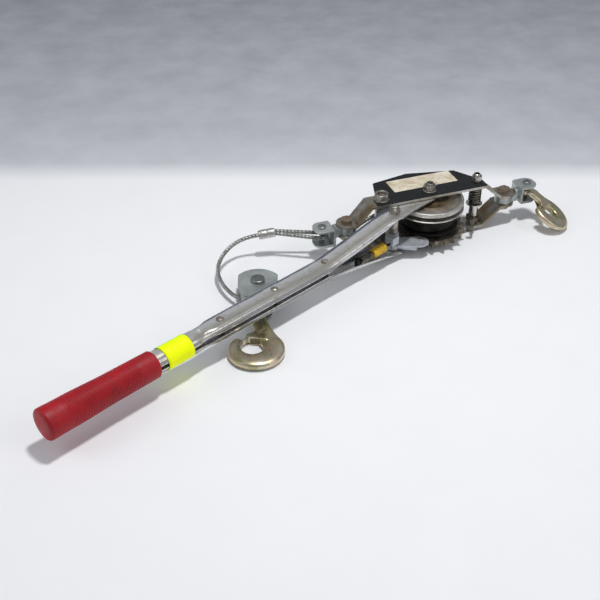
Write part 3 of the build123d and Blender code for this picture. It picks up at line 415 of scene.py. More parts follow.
# Near-black greasy steel: the grease is real, the depth of its black is painted shade.
GREASE_AND_SHADE = metal("steel_greasy_and_shaded", (0.012, 0.011, 0.010), (0.055, 0.05, 0.045), (0.35, 0.6), 80,
               (0.012, 0.009, 0.006), 0.5)
TOOTH = metal("steel_teeth", (0.11, 0.095, 0.07), (0.36, 0.33, 0.27), (0.3, 0.5), 80,
              (0.08, 0.055, 0.03), 0.5, 60)
SPRING = metal("spring_dark", (0.07, 0.06, 0.05), (0.28, 0.26, 0.22), (0.25, 0.45), 120,
               (0.10, 0.06, 0.035), 0.45)
WIRE = metal("wire_grey", (0.22, 0.22, 0.21), (0.42, 0.42, 0.40), (0.34, 0.5), 130,
             (0.12, 0.10, 0.07), 0.42, 60, metallic=0.85)
ALU = metal("ferrule_alu", (0.40, 0.39, 0.37), (0.62, 0.61, 0.59), (0.34, 0.55), 120,
            (0.26, 0.24, 0.20), 0.35)


# ------------------------------------------------------------------ mesh helpers
def publish(name, mesh, material, body, nodes=(), smooth_angle=35):
    """Make an object of a mesh in metres, let it ride on a body and stand for CAD nodes."""
    mesh.materials.clear()
    mesh.materials.append(material)
    for face in mesh.polygons:
        face.use_smooth = True
    mesh.set_sharp_from_angle(angle=math.radians(smooth_angle))
    made = bpy.data.objects.new(name, mesh)
    bpy.context.scene.collection.objects.link(made)
    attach(made, body)
    if nodes:
        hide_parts(*nodes)
    return made


def mesh_of(name, points, faces, turn_out=True):
    """Mesh from points in millimetres, with its faces turned outwards."""
    mesh = bpy.data.meshes.new(name)
    mesh.from_pydata([Vector(p) * MM for p in points], [], faces)
    work = bmesh.new()
    work.from_mesh(mesh)
    bmesh.ops.remove_doubles(work, verts=work.verts, dist=1e-6)
    if turn_out:
        bmesh.ops.recalc_face_normals(work, faces=work.faces)
    work.to_mesh(mesh)
    work.free()
    return mesh


def tube_faces(rows, around, first=0, close_rows=False):
    """Faces of a tube made of rings of points, joined end to end or with both ends capped."""
    faces = []
    last = rows if close_rows else rows - 1
    for i in range(last):
        for j in range(around):
            a, b = first + i * around, first + (i + 1) % rows * around
            k = (j + 1) % around
            faces.append((a + j, a + k, b + k, b + j))
    if not close_rows:
        faces.append(tuple(first + j for j in reversed(range(around))))
        faces.append(tuple(first + (rows - 1) * around + j for j in range(around)))
    return faces


def lathe(name, profile, at, material, body, nodes, around=96, smooth_angle=35, tilt=None):
    """Closed profile of (radius, height) turned about an axis through a point."""
    points = []
    turn = tilt or Matrix.Identity(3)
    for r, z in profile:
        for j in range(around):
            x, y = polar(r, math.tau * j / around)
            points.append(Vector(at) + turn @ Vector((x, y, z)))
    faces = tube_faces(len(profile), around, close_rows=True)
    return publish(name, mesh_of(name, points, faces), material, body, nodes, smooth_angle)


def soften(made, width, segments=3, angle=32):
    """Rounded edges."""
    bevel = made.modifiers.new("edges", "BEVEL")
    bevel.width = width * MM
    bevel.segments = segments
    bevel.limit_method = "ANGLE"
    bevel.angle_limit = math.radians(angle)
    bevel.harden_normals = True
    bevel.use_clamp_overlap = True


def detailed(node, material, width):
    """A CAD node's own shape, cleaned, with worn rounded edges."""
    mesh = frame["nodes"][node].data.copy()
    mesh.name = node + "_worn"
    work = bmesh.new()
    work.from_mesh(mesh)
    bmesh.ops.remove_doubles(work, verts=work.verts, dist=2e-6)
    bmesh.ops.dissolve_limit(work, angle_limit=math.radians(1.0), verts=work.verts, edges=work.edges)
    work.to_mesh(mesh)
    work.free()
    if mesh.has_custom_normals:
        for name in [a.name for a in mesh.attributes if a.name == "custom_normal"]:
            mesh.attributes.remove(mesh.attributes[name])
    soften(publish(node + "_worn", mesh, material, BODY_OF[node], (node,), 32), width)


def hex_radius(across, angle):
    """Radius of a hexagon at an angle."""
    step = math.pi / 3
    return across / 2 / math.cos((angle + step / 2) % step - step / 2)


def hex_piece(points, faces, at, across, low, high, bore, turn, cone_low):
    """Adds a hexagon with chamfered corners and a countersunk bore to point and face lists."""
    around = 72
    sink = 0.7
    rim = across / 2 * 1.005
    face, corner = rim * 0.985, rim * 1.2
    drop = 0.09 * across
    levels = [(bore, low + 0.6, False), (bore + sink, low, False), (face if cone_low else corner, low, True),
              (corner, low + (drop if cone_low else 0.0), True), (corner, high - drop, True),
              (face, high, True), (bore + sink, high, False), (bore, high - sink, False)]
    first = len(points)
    for radius, z, is_hex in levels:
        for j in range(around):
            angle = math.tau * j / around
            reach = min(radius, hex_radius(across, angle)) if is_hex else radius
            x, y = polar(reach, angle + turn, at)
            points.append((x, y, z))
    faces += tube_faces(len(levels), around, first, close_rows=True)


def nut(node, across, bore, turn, washer=None):
    """Hex nut, over its washer where it has one, given as a radius and a thickness."""
    around = 64
    low, high = box(node)
    at = ((low.x + high.x) / 2, (low.y + high.y) / 2)
    points, faces = [], []
    base = low.z
    if washer:
        radius, thick = washer
        ring = [(bore + 0.3, 0.1), (radius - 0.3, 0), (radius, 0.3), (radius, thick - 0.3),
                (radius - 0.3, thick), (bore + 0.3, thick - 0.1)]
        for r, z in ring:
            points += [(*polar(r, math.tau * j / around, at), base + z) for j in range(around)]
        faces += tube_faces(len(ring), around, close_rows=True)
        base += thick
    hex_piece(points, faces, at, across, base, high.z, bore, turn, cone_low=not washer)
    made = publish(node + "_cut", mesh_of(node, points, faces), BOLT, BODY_OF[node], (node,), 28)
    soften(made, 0.25, segments=2, angle=40)


def thread(name, nut_node, bolt_node, at, radius, pitch):
    """Turned thread where a bolt of the frame stands out of its nut."""
    low, high = box(nut_node)[1].z - 0.4, box(bolt_node)[1].z
    profile = [(radius - 0.5, low)]
    z = low
    while z + pitch < high - 0.6:
        profile += [(radius - 0.35, z), (radius + 0.12, z + pitch / 2)]
        z += pitch
    profile += [(radius - 0.35, z), (radius - 0.1, z + 0.25), (radius - 0.7, high), (0.3, high), (0.3, low)]
    lathe(name, profile, (*at, 0), BOLT, "frame", (), around=48, smooth_angle=20)


# ------------------------------------------------------------------ camera
def camera():
    """Camera in front of the tool and above it, looking down at it."""
    data = bpy.data.cameras.new("camera")
    data.lens = 60.83
    data.sensor_width = 36
    data.clip_start = 0.05
    made = bpy.data.objects.new("camera", data)
    made.location = (-0.5158, -0.9424, 0.6589)
    made.rotation_euler = (math.radians(54.55), 0, math.radians(-20.41))
    bpy.context.scene.collection.objects.link(made)
    bpy.context.scene.camera = made


camera()


# ------------------------------------------------------------------ wire rope
ROPE_D = 4.8
# Route of the free rope in millimetres: off the drum, under the frame, round the sheave, to the ferrule.
ROUTE = [
    (4.0, 35.8, 26.5), (-20.0, 36.2, 25.5), (-44.0, 37.5, 21.5), (-68.0, 35.0, 15.0),
    (-90.0, 26.0, 8.6), (-104.0, 10.0, 4.2), (-115.0, -10.0, 2.7), (-130.0, -30.0, 2.8),
    (-151.0, -44.0, 3.6), (-176.0, -53.5, 5.8), (-200.0, -60.5, 8.8), (-218.5, -69.3, 10.6),
    (-230.4, -73.2, 10.8), (-242.2, -72.8, 10.8), (-253.1, -68.2, 10.8), (-261.6, -60.6, 10.8),
    (-267.0, -48.0, 10.9), (-270.4, -27.0, 11.6), (-268.2, -4.0, 13.8), (-256.5, 15.5, 17.8),
    (-238.5, 28.6, 22.6), (-220.0, 31.4, 26.4), (-207.0, 28.0, 28.5),
]
FERRULE = (Vector((-188.0, 23.0, 31.5)), Vector((-207.0, 28.0, 28.5)))


def eye_route():
    """From the ferrule, round the clevis pin and back."""
    height, bend, legs = 29.5, 6.3, 5.9
    pin = Vector((CABLE_PIN.x, CABLE_PIN.y, height))
    back = FERRULE[0] - pin
    away = math.atan2(back.y, back.x)
    side = Vector((-math.sin(away), math.cos(away), 0))
    sides = []
    for sign in (-1, 1):
        beside = pin + sign * legs * side
        near = beside + Vector((*polar(9.0, away), 0))
        middle_way = (near + FERRULE[0]) / 2 + sign * side
        middle_way.z = pin.z + 1.2
        sides.append([FERRULE[0] + sign * 2.5 * side, middle_way, near])
    wrap = [pin + Vector((*polar(bend, away - math.radians(112.5 + 45 * k)), 0)) for k in range(4)]
    return sides[0] + wrap + sides[1][::-1]


def smooth_line(name, route):
    """Points along the NURBS spline that the route's points control, in millimetres."""
    curve = bpy.data.curves.new(name, "CURVE")
    curve.dimensions = "3D"
    curve.resolution_u = 12
    spline = curve.splines.new("NURBS")
    spline.points.add(len(route) - 1)
    for point, place in zip(spline.points, route):
        point.co = (*(Vector(place) * MM), 1)
    spline.order_u = 3
    spline.use_endpoint_u = True
    holder = bpy.data.objects.new(name, curve)
    line = bpy.data.meshes.new_from_object(holder)
    found = [v.co / MM for v in line.vertices]
    bpy.data.objects.remove(holder)
    bpy.data.meshes.remove(line)
    return found


def resample(line, step):
    """The same line with its points a steady step apart."""
    found, left = [line[0].copy()], step
    for a, b in zip(line, line[1:]):
        run = (b - a).length
        while run >= left and run > 0:
            a = a.lerp(b, left / run)
            found.append(a.copy())
            run = (b - a).length
            left = step
        left -= run
    found.append(line[-1].copy())
    return found


def frames_along(line):
    """Tangent and two carried normals at each point of a line."""
    made = []
    normal = None
    for i, point in enumerate(line):
        ahead = (line[min(i + 1, len(line) - 1)] - line[max(i - 1, 0)]).normalized()
        if normal is None:
            normal = ahead.orthogonal().normalized()
        normal = (normal - ahead * normal.dot(ahead)).normalized()
        made.append((point, ahead, normal, ahead.cross(normal)))
    return made


def strands(line, diameter, lay=26.0, around=7):
    """Points and faces of a laid rope: six strands twisted round a core that follows a line."""
    count, core_around = 6, 8
    thick = diameter * 0.2
    out = diameter / 2 - thick
    points, faces = [], []
    placed = frames_along(line)
    gone = [0.0]
    for a, b in zip(line, line[1:]):
        gone.append(gone[-1] + (b - a).length)
    for k in range(count):
        first = len(points)
        for (point, ahead, n, m), far in zip(placed, gone):
            phase = math.tau * (k / count + far / lay)
            radial = n * math.cos(phase) + m * math.sin(phase)
            twist = (m * math.cos(phase) - n * math.sin(phase)) * (math.tau * out / lay)
            side = (ahead + twist).normalized().cross(radial).normalized()
            centre = point + radial * out
            for j in range(around):
                a = math.tau * j / around
                points.append(centre + (radial * math.cos(a) + side * math.sin(a)) * thick)
        faces += tube_faces(len(placed), around, first)
    first = len(points)
    for point, ahead, n, m in placed:
        for j in range(core_around):
            a = math.tau * j / core_around
            points.append(point + (n * math.cos(a) + m * math.sin(a)) * (out - thick * 0.15))
    faces += tube_faces(len(placed), core_around, first)
    return points, faces


def wire_ropes():
    """The free rope and the eye, as two pieces, and the lines that they follow."""
    free = resample(smooth_line("rope_line", ROUTE), 1.0)
    eye = resample(smooth_line("eye_line", eye_route()), 0.8)
    made = []
    for name, line, node in (("rope_strands", free, "wire_rope"), ("rope_eye_strands", eye, "rope_eye")):
        points, faces = strands(line, ROPE_D)
        made.append(publish(name, mesh_of(name, points, faces, False), WIRE, "frame", (node,), 50))
    return made, free, eye


(ROPE, EYE), FREE_LINE, EYE_LINE = wire_ropes()


def ferrule():
    """Pressed sleeve with crimp ridges and rounded ends."""
    a, b = FERRULE
    long = (b - a).length
    turn = (b - a).normalized().to_track_quat("Z", "Y").to_matrix()
    rows, ridges, bore = 40, 2.5, 2.6
    outer = []
    for i in range(rows + 1):
        u = i / rows
        edge = min(u, 1 - u) * long
        rounding = 0.9 * (1 - min(edge / 1.6, 1.0)) ** 2
        crimp = 0.28 * max(0.0, math.sin(u * math.tau * ridges)) ** 2
        outer.append((5.6 - rounding - crimp, u * long))
    profile = [(bore, 0.4)] + outer + [(bore, long - 0.4)]
    return lathe("ferrule_pressed", profile, a, ALU, "frame", ("ferrule",), 48, 40, tilt=turn)


FERRULE_PIECE = ferrule()


def wound_rope():
    """The turns left on the drum, over a plain backing, in near-black greasy steel: the grease is real, the
    depth of the black is painted shade.
    """
    low, high = box("wound_rope")
    lower = low.z + ROPE_D / 2
    rise = high.z - low.z - ROPE_D
    outer_r = high.x - ROPE_D / 2
    core_r = box("drum_core")[1].x
    turns, steps, around = 5.0, 420, 72
    line = []
    for i in range(steps + 1):
        u = i / steps
        x, y = polar(outer_r, math.tau * turns * u + math.radians(80))
        line.append(Vector((x, y, lower + rise * u)))
    points, faces = strands(resample(line, 1.6), ROPE_D * 1.08, lay=24.0, around=6)
    first = len(points)
    backing = [(outer_r - 2.2, low.z), (outer_r - 2.2, high.z), (core_r, high.z), (core_r, low.z)]
    for r, z in backing:
        points += [Vector((*polar(r, math.tau * j / around), z)) for j in range(around)]
    faces += tube_faces(len(backing), around, first, close_rows=True)
    publish("drum_turns", mesh_of("drum_turns", points, faces, False), GREASE_AND_SHADE, "drum", ("wound_rope",), 50)


wound_rope()


# ------------------------------------------------------------------ handle
def blend_in(value, stops):
    """Smooth reading of a list of (place, value) pairs."""
    if value <= stops[0][0]:
        return stops[0][1]
    for (a, va), (b, vb) in zip(stops, stops[1:]):
        if value <= b:
            u = (value - a) / (b - a)
            u = u * u * (3 - 2 * u)
            return va + (vb - va) * u
    return stops[-1][1]


def ramp_in(value, stops, ease):
    """Straight runs between stops, with their corners eased by averaging over a distance either way."""
    total, either_way = 0.0, 3
    for k in range(-either_way, either_way + 1):
        at = value + ease * k / either_way
        near = stops[0][1] if at <= stops[0][0] else stops[-1][1]
        for (a, va), (b, vb) in zip(stops, stops[1:]):
            if a <= at <= b:
                near = va + (vb - va) * (at - a) / (b - a)
        total += near
    return total / (2 * either_way + 1)


# Along the handle in millimetres: the flat fork arm to about 60, the flare to about 92, the straight bar
# to 341, the neck to 366 and the round tube to 545.
FORK_R = 12
HANDLE_END = 545


def shell_profile(s):
    """Half width, rim height, top height, corner width and corner height of the upper shell at s."""
    if s < 0:
        half = math.sqrt(max(FORK_R ** 2 - s * s, 0.3))
    else:
        half = ramp_in(s, [(0, FORK_R), (42, 12.3), (58, 14.3), (70, 14.3), (86, 12.9), (180, 11.9),
                           (342, 11.9), (350, 11.0), (358, 10.4), (368, 11.6), (HANDLE_END, 11.6)], 4)
    top = ramp_in(s, [(-20, 58), (84, 58), (180, 43), (341, 43), (349, 42.6), (357, 43.0), (366, 44.7),
                      (HANDLE_END, 44.7)], 5)
    wall = blend_in(s, [(60, 0.0), (68, 0.3), (92, 6.0), (130, 7.0), (180, 7.3), (341, 7.3), (352, 6.2),
                        (368, 9.3), (HANDLE_END, 9.3)])
    corner = blend_in(s, [(60, 0.0), (90, 4.8), (180, 4.6), (341, 4.6), (366, 9.6), (HANDLE_END, 9.6)])
    across = blend_in(s, [(60, 1.0), (90, 6.0), (180, 5.4), (341, 5.4), (366, 11.4), (HANDLE_END, 11.4)])
    rim = top - max(wall, 0.02)
    return half, rim, top, min(across, half * 0.98), min(corner, wall * 0.98 + 0.005)


def dent(s, t):
    """Depth of the round dimple pressed into the neck."""
    place, radius, depth = 359.0, 6.5, 3.0
    away = math.hypot(s - place, t) / radius
    return depth * max(0.0, 1 - away * away) ** 1.5


def shell_row(s):
    """The upper shell's section at s as (across, height) points: wall, corner, top, corner, wall."""
    half, rim, top, across, corner = shell_profile(s)
    wall_parts, corner_parts, top_parts = 5, 8, 8
    row = [(-half, rim + (top - corner - rim) * k / wall_parts) for k in range(wall_parts)]
    for k in range(corner_parts + 1):
        a = math.pi / 2 * k / corner_parts
        row.append((-half + across * (1 - math.cos(a)), top - corner + corner * math.sin(a)))
    front = [(-t, z) for t, z in reversed(row)]
    flat = half - across
    return row + [(-flat + 2 * flat * k / top_parts, top) for k in range(1, top_parts)] + front


def handle_shell(node, sign):
    """Pressed half: flat fork arm, flared channel, straight bar, neck and half-round tube."""
    stations = [-11.9, -11.2, -9.8, -7.5, -4.5, -1.0]
    for start, step, count in ((3, 3.0, 18), (56, 2.0, 22), (100, 4.0, 60), (340, 1.5, 21), (372, 8.0, 22)):
        stations += [start + step * k for k in range(count)]
    points = []
    for s in stations:
        row = shell_row(s)
        points += [on_handle(s, t, MID_Z + sign * (z - dent(s, t) - MID_Z)) for t, z in row]
    wide = len(row)
    faces = []
    for i in range(len(stations) - 1):
        for j in range(wide - 1):
            a, b = i * wide + j, (i + 1) * wide + j
            faces.append((a, a + 1, b + 1, b) if sign > 0 else (a, b, b + 1, a + 1))
    mesh = bpy.data.meshes.new(node)
    mesh.from_pydata([p * MM for p in points], [], faces)
    made = publish(node + "_pressed", mesh, CHROME, "handle", (node,), 60)
    thick = made.modifiers.new("sheet", "SOLIDIFY")
    thick.thickness = 1.6 * MM
    thick.offset = 1.0
    thick.use_even_offset = False
    soften(made, 0.35, segments=2, angle=50)


handle_shell("handle_upper_shell", 1)
handle_shell("handle_lower_shell", -1)


def handle_tilt():
    """Turns Z onto the handle's direction."""
    c, n = math.cos(HANDLE_TURN), math.sin(HANDLE_TURN)
    return Matrix(((0, -n, c), (0, c, n), (1, 0, 0)))


def grip():
    """Moulded grip: plain collars, fine ribs between them, a flared end and a closed cap."""
    start, end, steps = 417.0, 543.6, 560
    bore, rib_pitch = 12.9, 2.95
    long = end - start
    outer = []
    for i in range(steps + 1):
        u = i / steps
        s = u * long
        r = 14.4 + 1.9 * blend_in(u, [(0, 0), (0.35, 0.25), (0.8, 1.0), (1, 1.0)])
        r -= 1.1 * max(0.0, 1 - s / 1.8) ** 2 + 1.3 * max(0.0, 1 - (long - s) / 2.4) ** 2
        ribbed = blend_in(u, [(0.14, 0), (0.20, 1), (0.80, 1), (0.86, 0)])
        rib = 0.5 + 0.5 * math.cos(math.tau * (s - 18) / rib_pitch)
        r -= 0.5 * ribbed * (1 - rib ** 0.6)
        r += 0.25 * blend_in(u, [(0.90, 0), (0.93, 1), (1, 1)])
        outer.append((r, s))
    cap = [(9.0, long + 0.3), (0.2, long + 0.35), (0.2, long - 3.0), (bore, long - 3.2)]
    lathe("grip_moulded", [(bore, 0.5)] + outer + cap, on_handle(start, 0, MID_Z), RED, "handle", ("grip",),
          96, 50, tilt=handle_tilt())


grip()


def sticker():
    """Blank wrap-round sticker with lifted corners."""
    low_s, high_s, radius = 375.5, 407.5, 12.72
    rows, around = 12, 72
    points = []
    for i in range(rows + 1):
        s = low_s + (high_s - low_s) * (i / rows)
        for j in range(around + 1):
            a = math.radians(-205 + 310 * j / around)
            r = radius + 0.12 * (abs(j / around - 0.5) * 2) ** 8
            z = MID_Z + r * math.sin(a + math.pi / 2)
            points.append(on_handle(s + 0.8 * math.sin(a * 0.5), r * math.cos(a + math.pi / 2), z))
    faces = []
    for i in range(rows):
        for j in range(around):
            a, b = i * (around + 1) + j, (i + 1) * (around + 1) + j
            faces.append((a, a + 1, b + 1, b))
    made = publish("sticker_wrap", mesh_of("sticker", points, faces), FILM, "handle", ("sticker",), 60)
    film = made.modifiers.new("film", "SOLIDIFY")
    film.thickness = 0.12 * MM
    film.offset = 1.0


sticker()


def handle_rivets():
    """Domed rivet heads on both shells."""
    places, around = (178.6, 254.7, 331.1), 32
    profile = [(4.3, -1.0), (4.35, 0.1), (4.1, 0.75), (3.3, 1.35), (2.0, 1.75), (0.7, 1.9), (0.05, 1.92)]
    points, faces = [], []
    for s in places:
        top = shell_profile(s)[2]
        for sign in (1, -1):
            first = len(points)
            for r, z in profile:
                for j in range(around):
                    x, y = polar(r, math.tau * j / around)
                    points.append(on_handle(s + x, y, MID_Z + sign * (top - MID_Z + z)))
            faces += tube_faces(len(profile), around, first)
    publish("rivet_domes", mesh_of("rivet_domes", points, faces), BOLT, "handle", ("handle_rivets",), 50)


handle_rivets()


# ------------------------------------------------------------------ springs
def spring(name, node, start, direction, radius, wire, height, turns):
    """Round-wire coil, with its turns a little closer at both ends."""
    turn = direction.to_track_quat("Z", "Y").to_matrix()
    steps, around = int(turns * 28), 12
    line = []
    for i in range(steps + 1):
        u = i / steps
        rise = blend_in(u, [(0, 0), (1, 1)]) * 0.25 + u * 0.75
        x, y = polar(radius, math.tau * turns * u)
        line.append(start + turn @ Vector((x, y, rise * height)))
    points = []
    for point, _, n, m in frames_along(line):
        for j in range(around):
            a = math.tau * j / around
            points.append(point + (n * math.cos(a) + m * math.sin(a)) * wire)
    publish(name, mesh_of(name, points, tube_faces(len(line), around)), SPRING, BODY_OF[node], (node,), 60)


def springs():
    """The holding pawl's coil on its bolt, and the driving pawl's coil on its rod."""
    low, high = box("holding_spring")
    wire = 1.25
    spring("holding_coil", "holding_spring", Vector((PIVOT.x, 0, low.z + wire)), Vector((0, 0, 1)),
           radius=6.6, wire=wire, height=high.z - low.z - 2 * wire, turns=6.5)
    seat = on_handle(112.2, 9.0, 26.0)
    spring("drive_coil", "drive_spring", seat, on_handle(1, 0, 0), radius=3.8, wire=0.9, height=18.0, turns=8)


springs()


# ------------------------------------------------------------------ hooks
def swept(points, faces, stations):
    """Tube through (point, across, up, half width, half thickness) stations, squarish in section."""
    square, around = 3.0, 28
    first = len(points)
    for place, across, up, wide, thick in stations:
        for j in range(around):
            a = math.tau * j / around
            c, n = math.cos(a), math.sin(a)
            x = math.copysign(abs(c) ** (2 / square), c) * wide
            y = math.copysign(abs(n) ** (2 / square), n) * thick
            points.append(place + across * x + up * y)
    faces += tube_faces(len(stations), around, first)


def mount(name):
    """Centre in millimetres, axis and radius of a mount."""
    found = next(m for m in frame["record"]["mounts"] if m["name"] == name)
    return Vector(found["pos_m"]) / MM, Vector(found["axis"]).normalized(), found["dims"]["r_mm"]


def latch_cheeks(points, faces, pin, limb, normal, half):
    """Two cheeks from a hook's shank to the latch pin, with a slot between them for the latch."""
    near = min((station[0] for station in limb), key=lambda place: (place - pin).length)
    out = (pin - near).normalized()
    side = normal.cross(out).normalized()
    long = (pin - near).length
    outline = [near + side * 11, near + out * (long - 2.5) + side * 4.6]
    outline += [pin + (out * math.sin(a) + side * math.cos(a)) * 3.9
                for a in (math.pi * k / 10 for k in range(11))]
    outline += [near + out * (long - 2.5) - side * 4.6, near - side * 11]
    for low, high in ((3.5, half), (-half, -3.5)):
        first = len(points)
        points += [p + normal * low for p in outline] + [p + normal * high for p in outline]
        faces += tube_faces(2, len(outline), first)


def hook(node, bowl, along, normal, hole_at, hole, eye, eye_r, eye_half, bore, outer, half):
    """Flat forged hook: an eye, a shank, and a bowl swept from the shank round to a blunt tip."""
    side = normal.cross(along).normalized()
    off = hole_at - bowl
    start, sweep = math.radians(128), math.radians(-262)  # of the bowl's limb, from the shank to the tip
    points, faces = [], []
    reach = Vector((bowl.x - eye.x, bowl.y - eye.y, 0)).normalized()
    level = Vector((0, 0, 1)).cross(reach)
    ring = [(bore, -eye_half + 0.4), (bore + 0.5, -eye_half), (eye_r - 1.4, -eye_half),
            (eye_r, -eye_half + 1.4), (eye_r, eye_half - 1.4), (eye_r - 1.4, eye_half),
            (bore + 0.5, eye_half), (bore, eye_half - 0.4)]
    for r, z in ring:
        points += [eye + Vector((*polar(r, math.tau * j / 48), z)) for j in range(48)]
    faces += tube_faces(len(ring), 48, close_rows=True)

    def limb(angle):
        """Middle and half width of the bowl's limb at an angle, between its outline and its hole."""
        radial = along * math.cos(angle) + side * math.sin(angle)
        lean = off.dot(radial)
        inner = lean + math.sqrt(max(hole * hole - (off.length_squared - lean * lean), 0.0))
        return radial, (outer + inner) / 2, (outer - inner) / 2 + 0.5

    stations = []
    root = eye + reach * (bore + 2.2)
    radial, reach_r, begin_wide = limb(start)
    begin = bowl + radial * reach_r
    first_dir = along * math.sin(start) - side * math.cos(start)
    pull = max(15.0, 0.3 * (begin - root).length)
    for k in range(9):
        u = k / 8
        ease = u * u * (3 - 2 * u)
        spot = (root * (1 - u) ** 3 + (eye + reach * pull) * 3 * u * (1 - u) ** 2
                + (begin - first_dir * 12) * 3 * u * u * (1 - u) + begin * u ** 3)
        up = Vector((0, 0, 1)).lerp(normal, ease).normalized()
        across = level.lerp(radial, ease)
        across = (across - up * across.dot(up)).normalized()
        stations.append((spot, across, up, eye_r * 0.85 * (1 - ease) + begin_wide * ease,
                         eye_half * 0.96 * (1 - ease) + half * ease))
    count = 44
    for k in range(1, count + 1):
        u = k / count
        radial, reach_r, wide = limb(start + sweep * u)
        taper = 1 - 0.22 * max(0.0, (u - 0.75) / 0.25)
        tip = math.sqrt(max(1 - max(0.0, (u - 0.965) / 0.035) ** 2, 0.02))
        stations.append((bowl + radial * (reach_r - (1 - taper) * 1.5), radial, normal, wide * taper * tip,
                         half * (0.98 * taper + 0.02) * max(tip, 0.3)))
    swept(points, faces, stations)
    latch_cheeks(points, faces, joint_at(node.replace("hook", "latch_hinge")), stations[6:20], normal, half)
    name = node + "_forged"
    made = publish(name, mesh_of(name, points, faces), GOLD, BODY_OF[node], (node,), smooth_angle=60)
    voxel = made.modifiers.new("forged", "REMESH")
    voxel.mode = "VOXEL"
    voxel.voxel_size = 0.55 * MM
    voxel.use_smooth_shade = True
    relax = made.modifiers.new("relax", "SMOOTH")
    relax.iterations = 6
    relax.factor = 0.5


def hooks():
    """The anchor's hook, hanging, and the pulley block's, lying flat."""
    bowl, normal, hole = mount("anchor_hook_bowl")
    yaw, pitch, sheave_to_bowl = math.radians(-61.8), math.radians(28.7), 106
    along = Vector((math.cos(pitch) * math.cos(yaw), math.cos(pitch) * math.sin(yaw), -math.sin(pitch)))
    along = (along - normal * along.dot(normal)).normalized()
    eye = Vector((ANCHOR_PIN.x, ANCHOR_PIN.y, joint_at("anchor_hook_pivot").z))
    hook("anchor_hook", bowl, along, normal, bowl, hole, eye, eye_r=8.6, eye_half=3.6, bore=3.4, outer=26.0,
         half=4.5)
    hole_at, _, hole = mount("block_hook_bowl")
    upright = Vector((0, 0, 1))
    angle = math.atan2(HOOK_PIN.y - SHEAVE.y, HOOK_PIN.x - SHEAVE.x)
    flat = Vector((*polar(1, angle), 0))
    bowl = Vector((SHEAVE.x, SHEAVE.y, hole_at.z)) + flat * sheave_to_bowl
    eye = Vector((HOOK_PIN.x, HOOK_PIN.y, 10.8))
    hook("block_hook", bowl, flat, upright, hole_at, hole, eye, eye_r=9.5, eye_half=4.0, bore=4.4, outer=30.0,
         half=5.0)


hooks()


# ------------------------------------------------------------------ drum
def drum():
    """Rolled cap with its dish, and the two flanges."""
    low, high = box("drum_cap")
    base, top = low.z, high.z
    dish = top - 3.8
    rim = high.x
    bush = box("drum_bush")[1].x
    cap = [(bush, base), (30, base), (30, dish), (38, dish + 0.9), (rim - 2.2, dish + 0.2),
           (rim - 1.8, dish - 1.5), (rim - 0.9, dish - 1.75), (rim, dish - 0.8), (rim, top - 0.9),
           (rim - 0.4, top - 0.25), (rim - 1.2, top), (rim - 3.0, top), (rim - 4.2, top - 0.5),
           (rim - 5.0, top - 1.4), (rim - 8, dish + 2.0), (26, dish + 1.75), (25, dish + 2.3),
           (23.6, dish + 2.4), (22.4, dish + 1.8), (14, dish + 1.7), (12.4, dish + 2.6),
           (bush + 0.5, dish + 2.7), (bush, dish + 2.2)]
    lathe("cap_rolled", cap, (0, 0, 0), CAP, "drum", ("drum_cap",), 128, 50)
    # The lower flange takes the near-black finish: painted shade under the drum.
    for node, finish in (("upper_flange", CAP), ("lower_flange", GREASE_AND_SHADE)):
        low, high = box(node)
        edge = high.x
        profile = [(bush, low.z), (edge - 0.8, low.z), (edge, low.z + 0.5), (edge, high.z - 0.5),
                   (edge - 0.8, high.z), (bush, high.z)]
        lathe(node + "_pressed", profile, (0, 0, 0), finish, "drum", (node,), 128, 50)


drum()


# ------------------------------------------------------------------ everything else
def carried():
    """CAD shapes that keep their form, each with worn edges and its own finish."""
    finishes = {
        STRAP: (0.5, "top_strap bottom_strap"),
        BLACK: (0.25, "guard_plate"),
        LABEL: (0.05, "label_plate"),
        ZINC: (0.6, "block_cheek_upper block_cheek_lower cable_clevis anchor_clevis cable_eye anchor_eye "
                    "block_keepers"),
        STEM: (0.6, "sheave_pin hook_pin cable_pin anchor_pin"),
        PLATE: (0.35, "drive_pawl"),
        BRIGHT: (0.35, "spring_seat pivot_sleeve pawl_rivet"),
        BOLT: (0.4, "frame_bolt drum_axle pivot_bolt drive_pin frame_spacer drive_sleeve rivet_spacers "
                    "end_nuts"),
        RUST: (0.5, "end_bolts"),
        TOOTH: (0.45, "ratchet_wheel sheave holding_pawl"),
        GREASE_AND_SHADE: (0.3, "drum_core drum_bush spring_rod"),
        SLEEVE: (0.5, "spring_sleeve"),
        GOLD: (0.3, "anchor_latch block_latch anchor_latch_pin block_latch_pin"),
    }
    for material, (width, names) in finishes.items():
        for node in names.split():
            detailed(node, material, width)


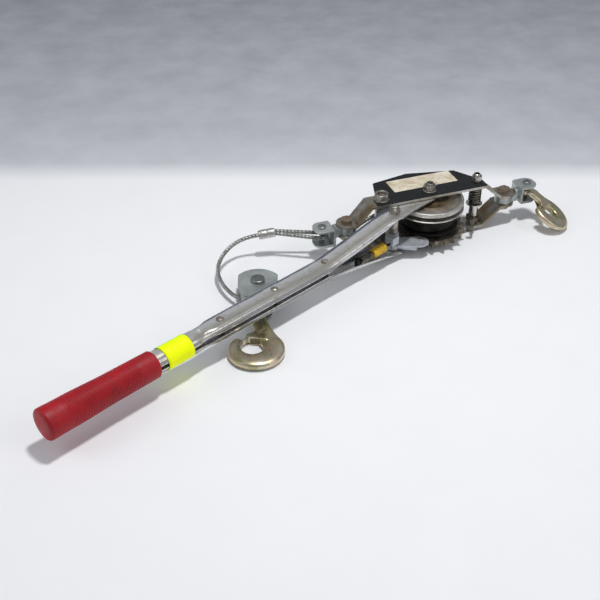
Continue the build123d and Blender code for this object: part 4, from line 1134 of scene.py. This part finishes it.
carried()
nut("axle_nut", across=14.0, bore=4.75, turn=0.2, washer=(8.2, 1.4))
nut("frame_nut", across=16.0, bore=5.05, turn=0.5, washer=(9.4, 1.4))
nut("pivot_nut", across=11.5, bore=4.05, turn=0.35)
nut("drive_nut", across=11.5, bore=4.05, turn=0.1)
thread("axle_thread", "axle_nut", "drum_axle", at=(0, 0), radius=4.7, pitch=1.5)
thread("pivot_thread", "pivot_nut", "pivot_bolt", at=(PIVOT.x, 0), radius=4.0, pitch=1.25)


# ------------------------------------------------------------------ stage and light
def stage():
    """The pale floor that the tool lies on."""
    mesh = bpy.data.meshes.new("floor")
    reach = 6.0
    mesh.from_pydata([(-reach, -reach, 0), (reach, -reach, 0), (reach, reach, 0), (-reach, reach, 0)], [],
                     [(0, 1, 2, 3)])
    mesh.materials.append(floor_paper())
    floor = bpy.data.objects.new("floor", mesh)
    bpy.context.scene.collection.objects.link(floor)


def light(name, at, target, size, power, colour=(1, 1, 1)):
    """Square soft light aimed at a point."""
    data = bpy.data.lights.new(name, "AREA")
    data.shape = "SQUARE"
    data.size = size
    data.energy = power
    data.color = colour
    made = bpy.data.objects.new(name, data)
    made.location = at
    made.rotation_mode = "QUATERNION"
    made.rotation_quaternion = (Vector(target) - Vector(at)).to_track_quat("-Z", "Y")
    bpy.context.scene.collection.objects.link(made)


def world():
    """Plain pale surroundings."""
    made = bpy.data.worlds.new("studio")
    bpy.context.scene.world = made
    made.use_nodes = True
    shade = made.node_tree.nodes["Background"]
    shade.inputs["Color"].default_value = (0.84, 0.87, 0.93, 1)
    shade.inputs["Strength"].default_value = 0.34


stage()
light("key", (-0.05, -0.15, 1.5), (-0.12, 0, 0), size=0.17, power=14.0)
light("fill", (0.9, -1.2, 1.1), (0, 0, 0), size=1.0, power=4.5, colour=(0.97, 0.98, 1.0))
light("side", (-1.5, 0.1, 0.9), (-0.2, 0, 0), size=0.8, power=3.5, colour=(0.97, 0.98, 1.0))
world()
bpy.context.scene.view_settings.view_transform = "Standard"
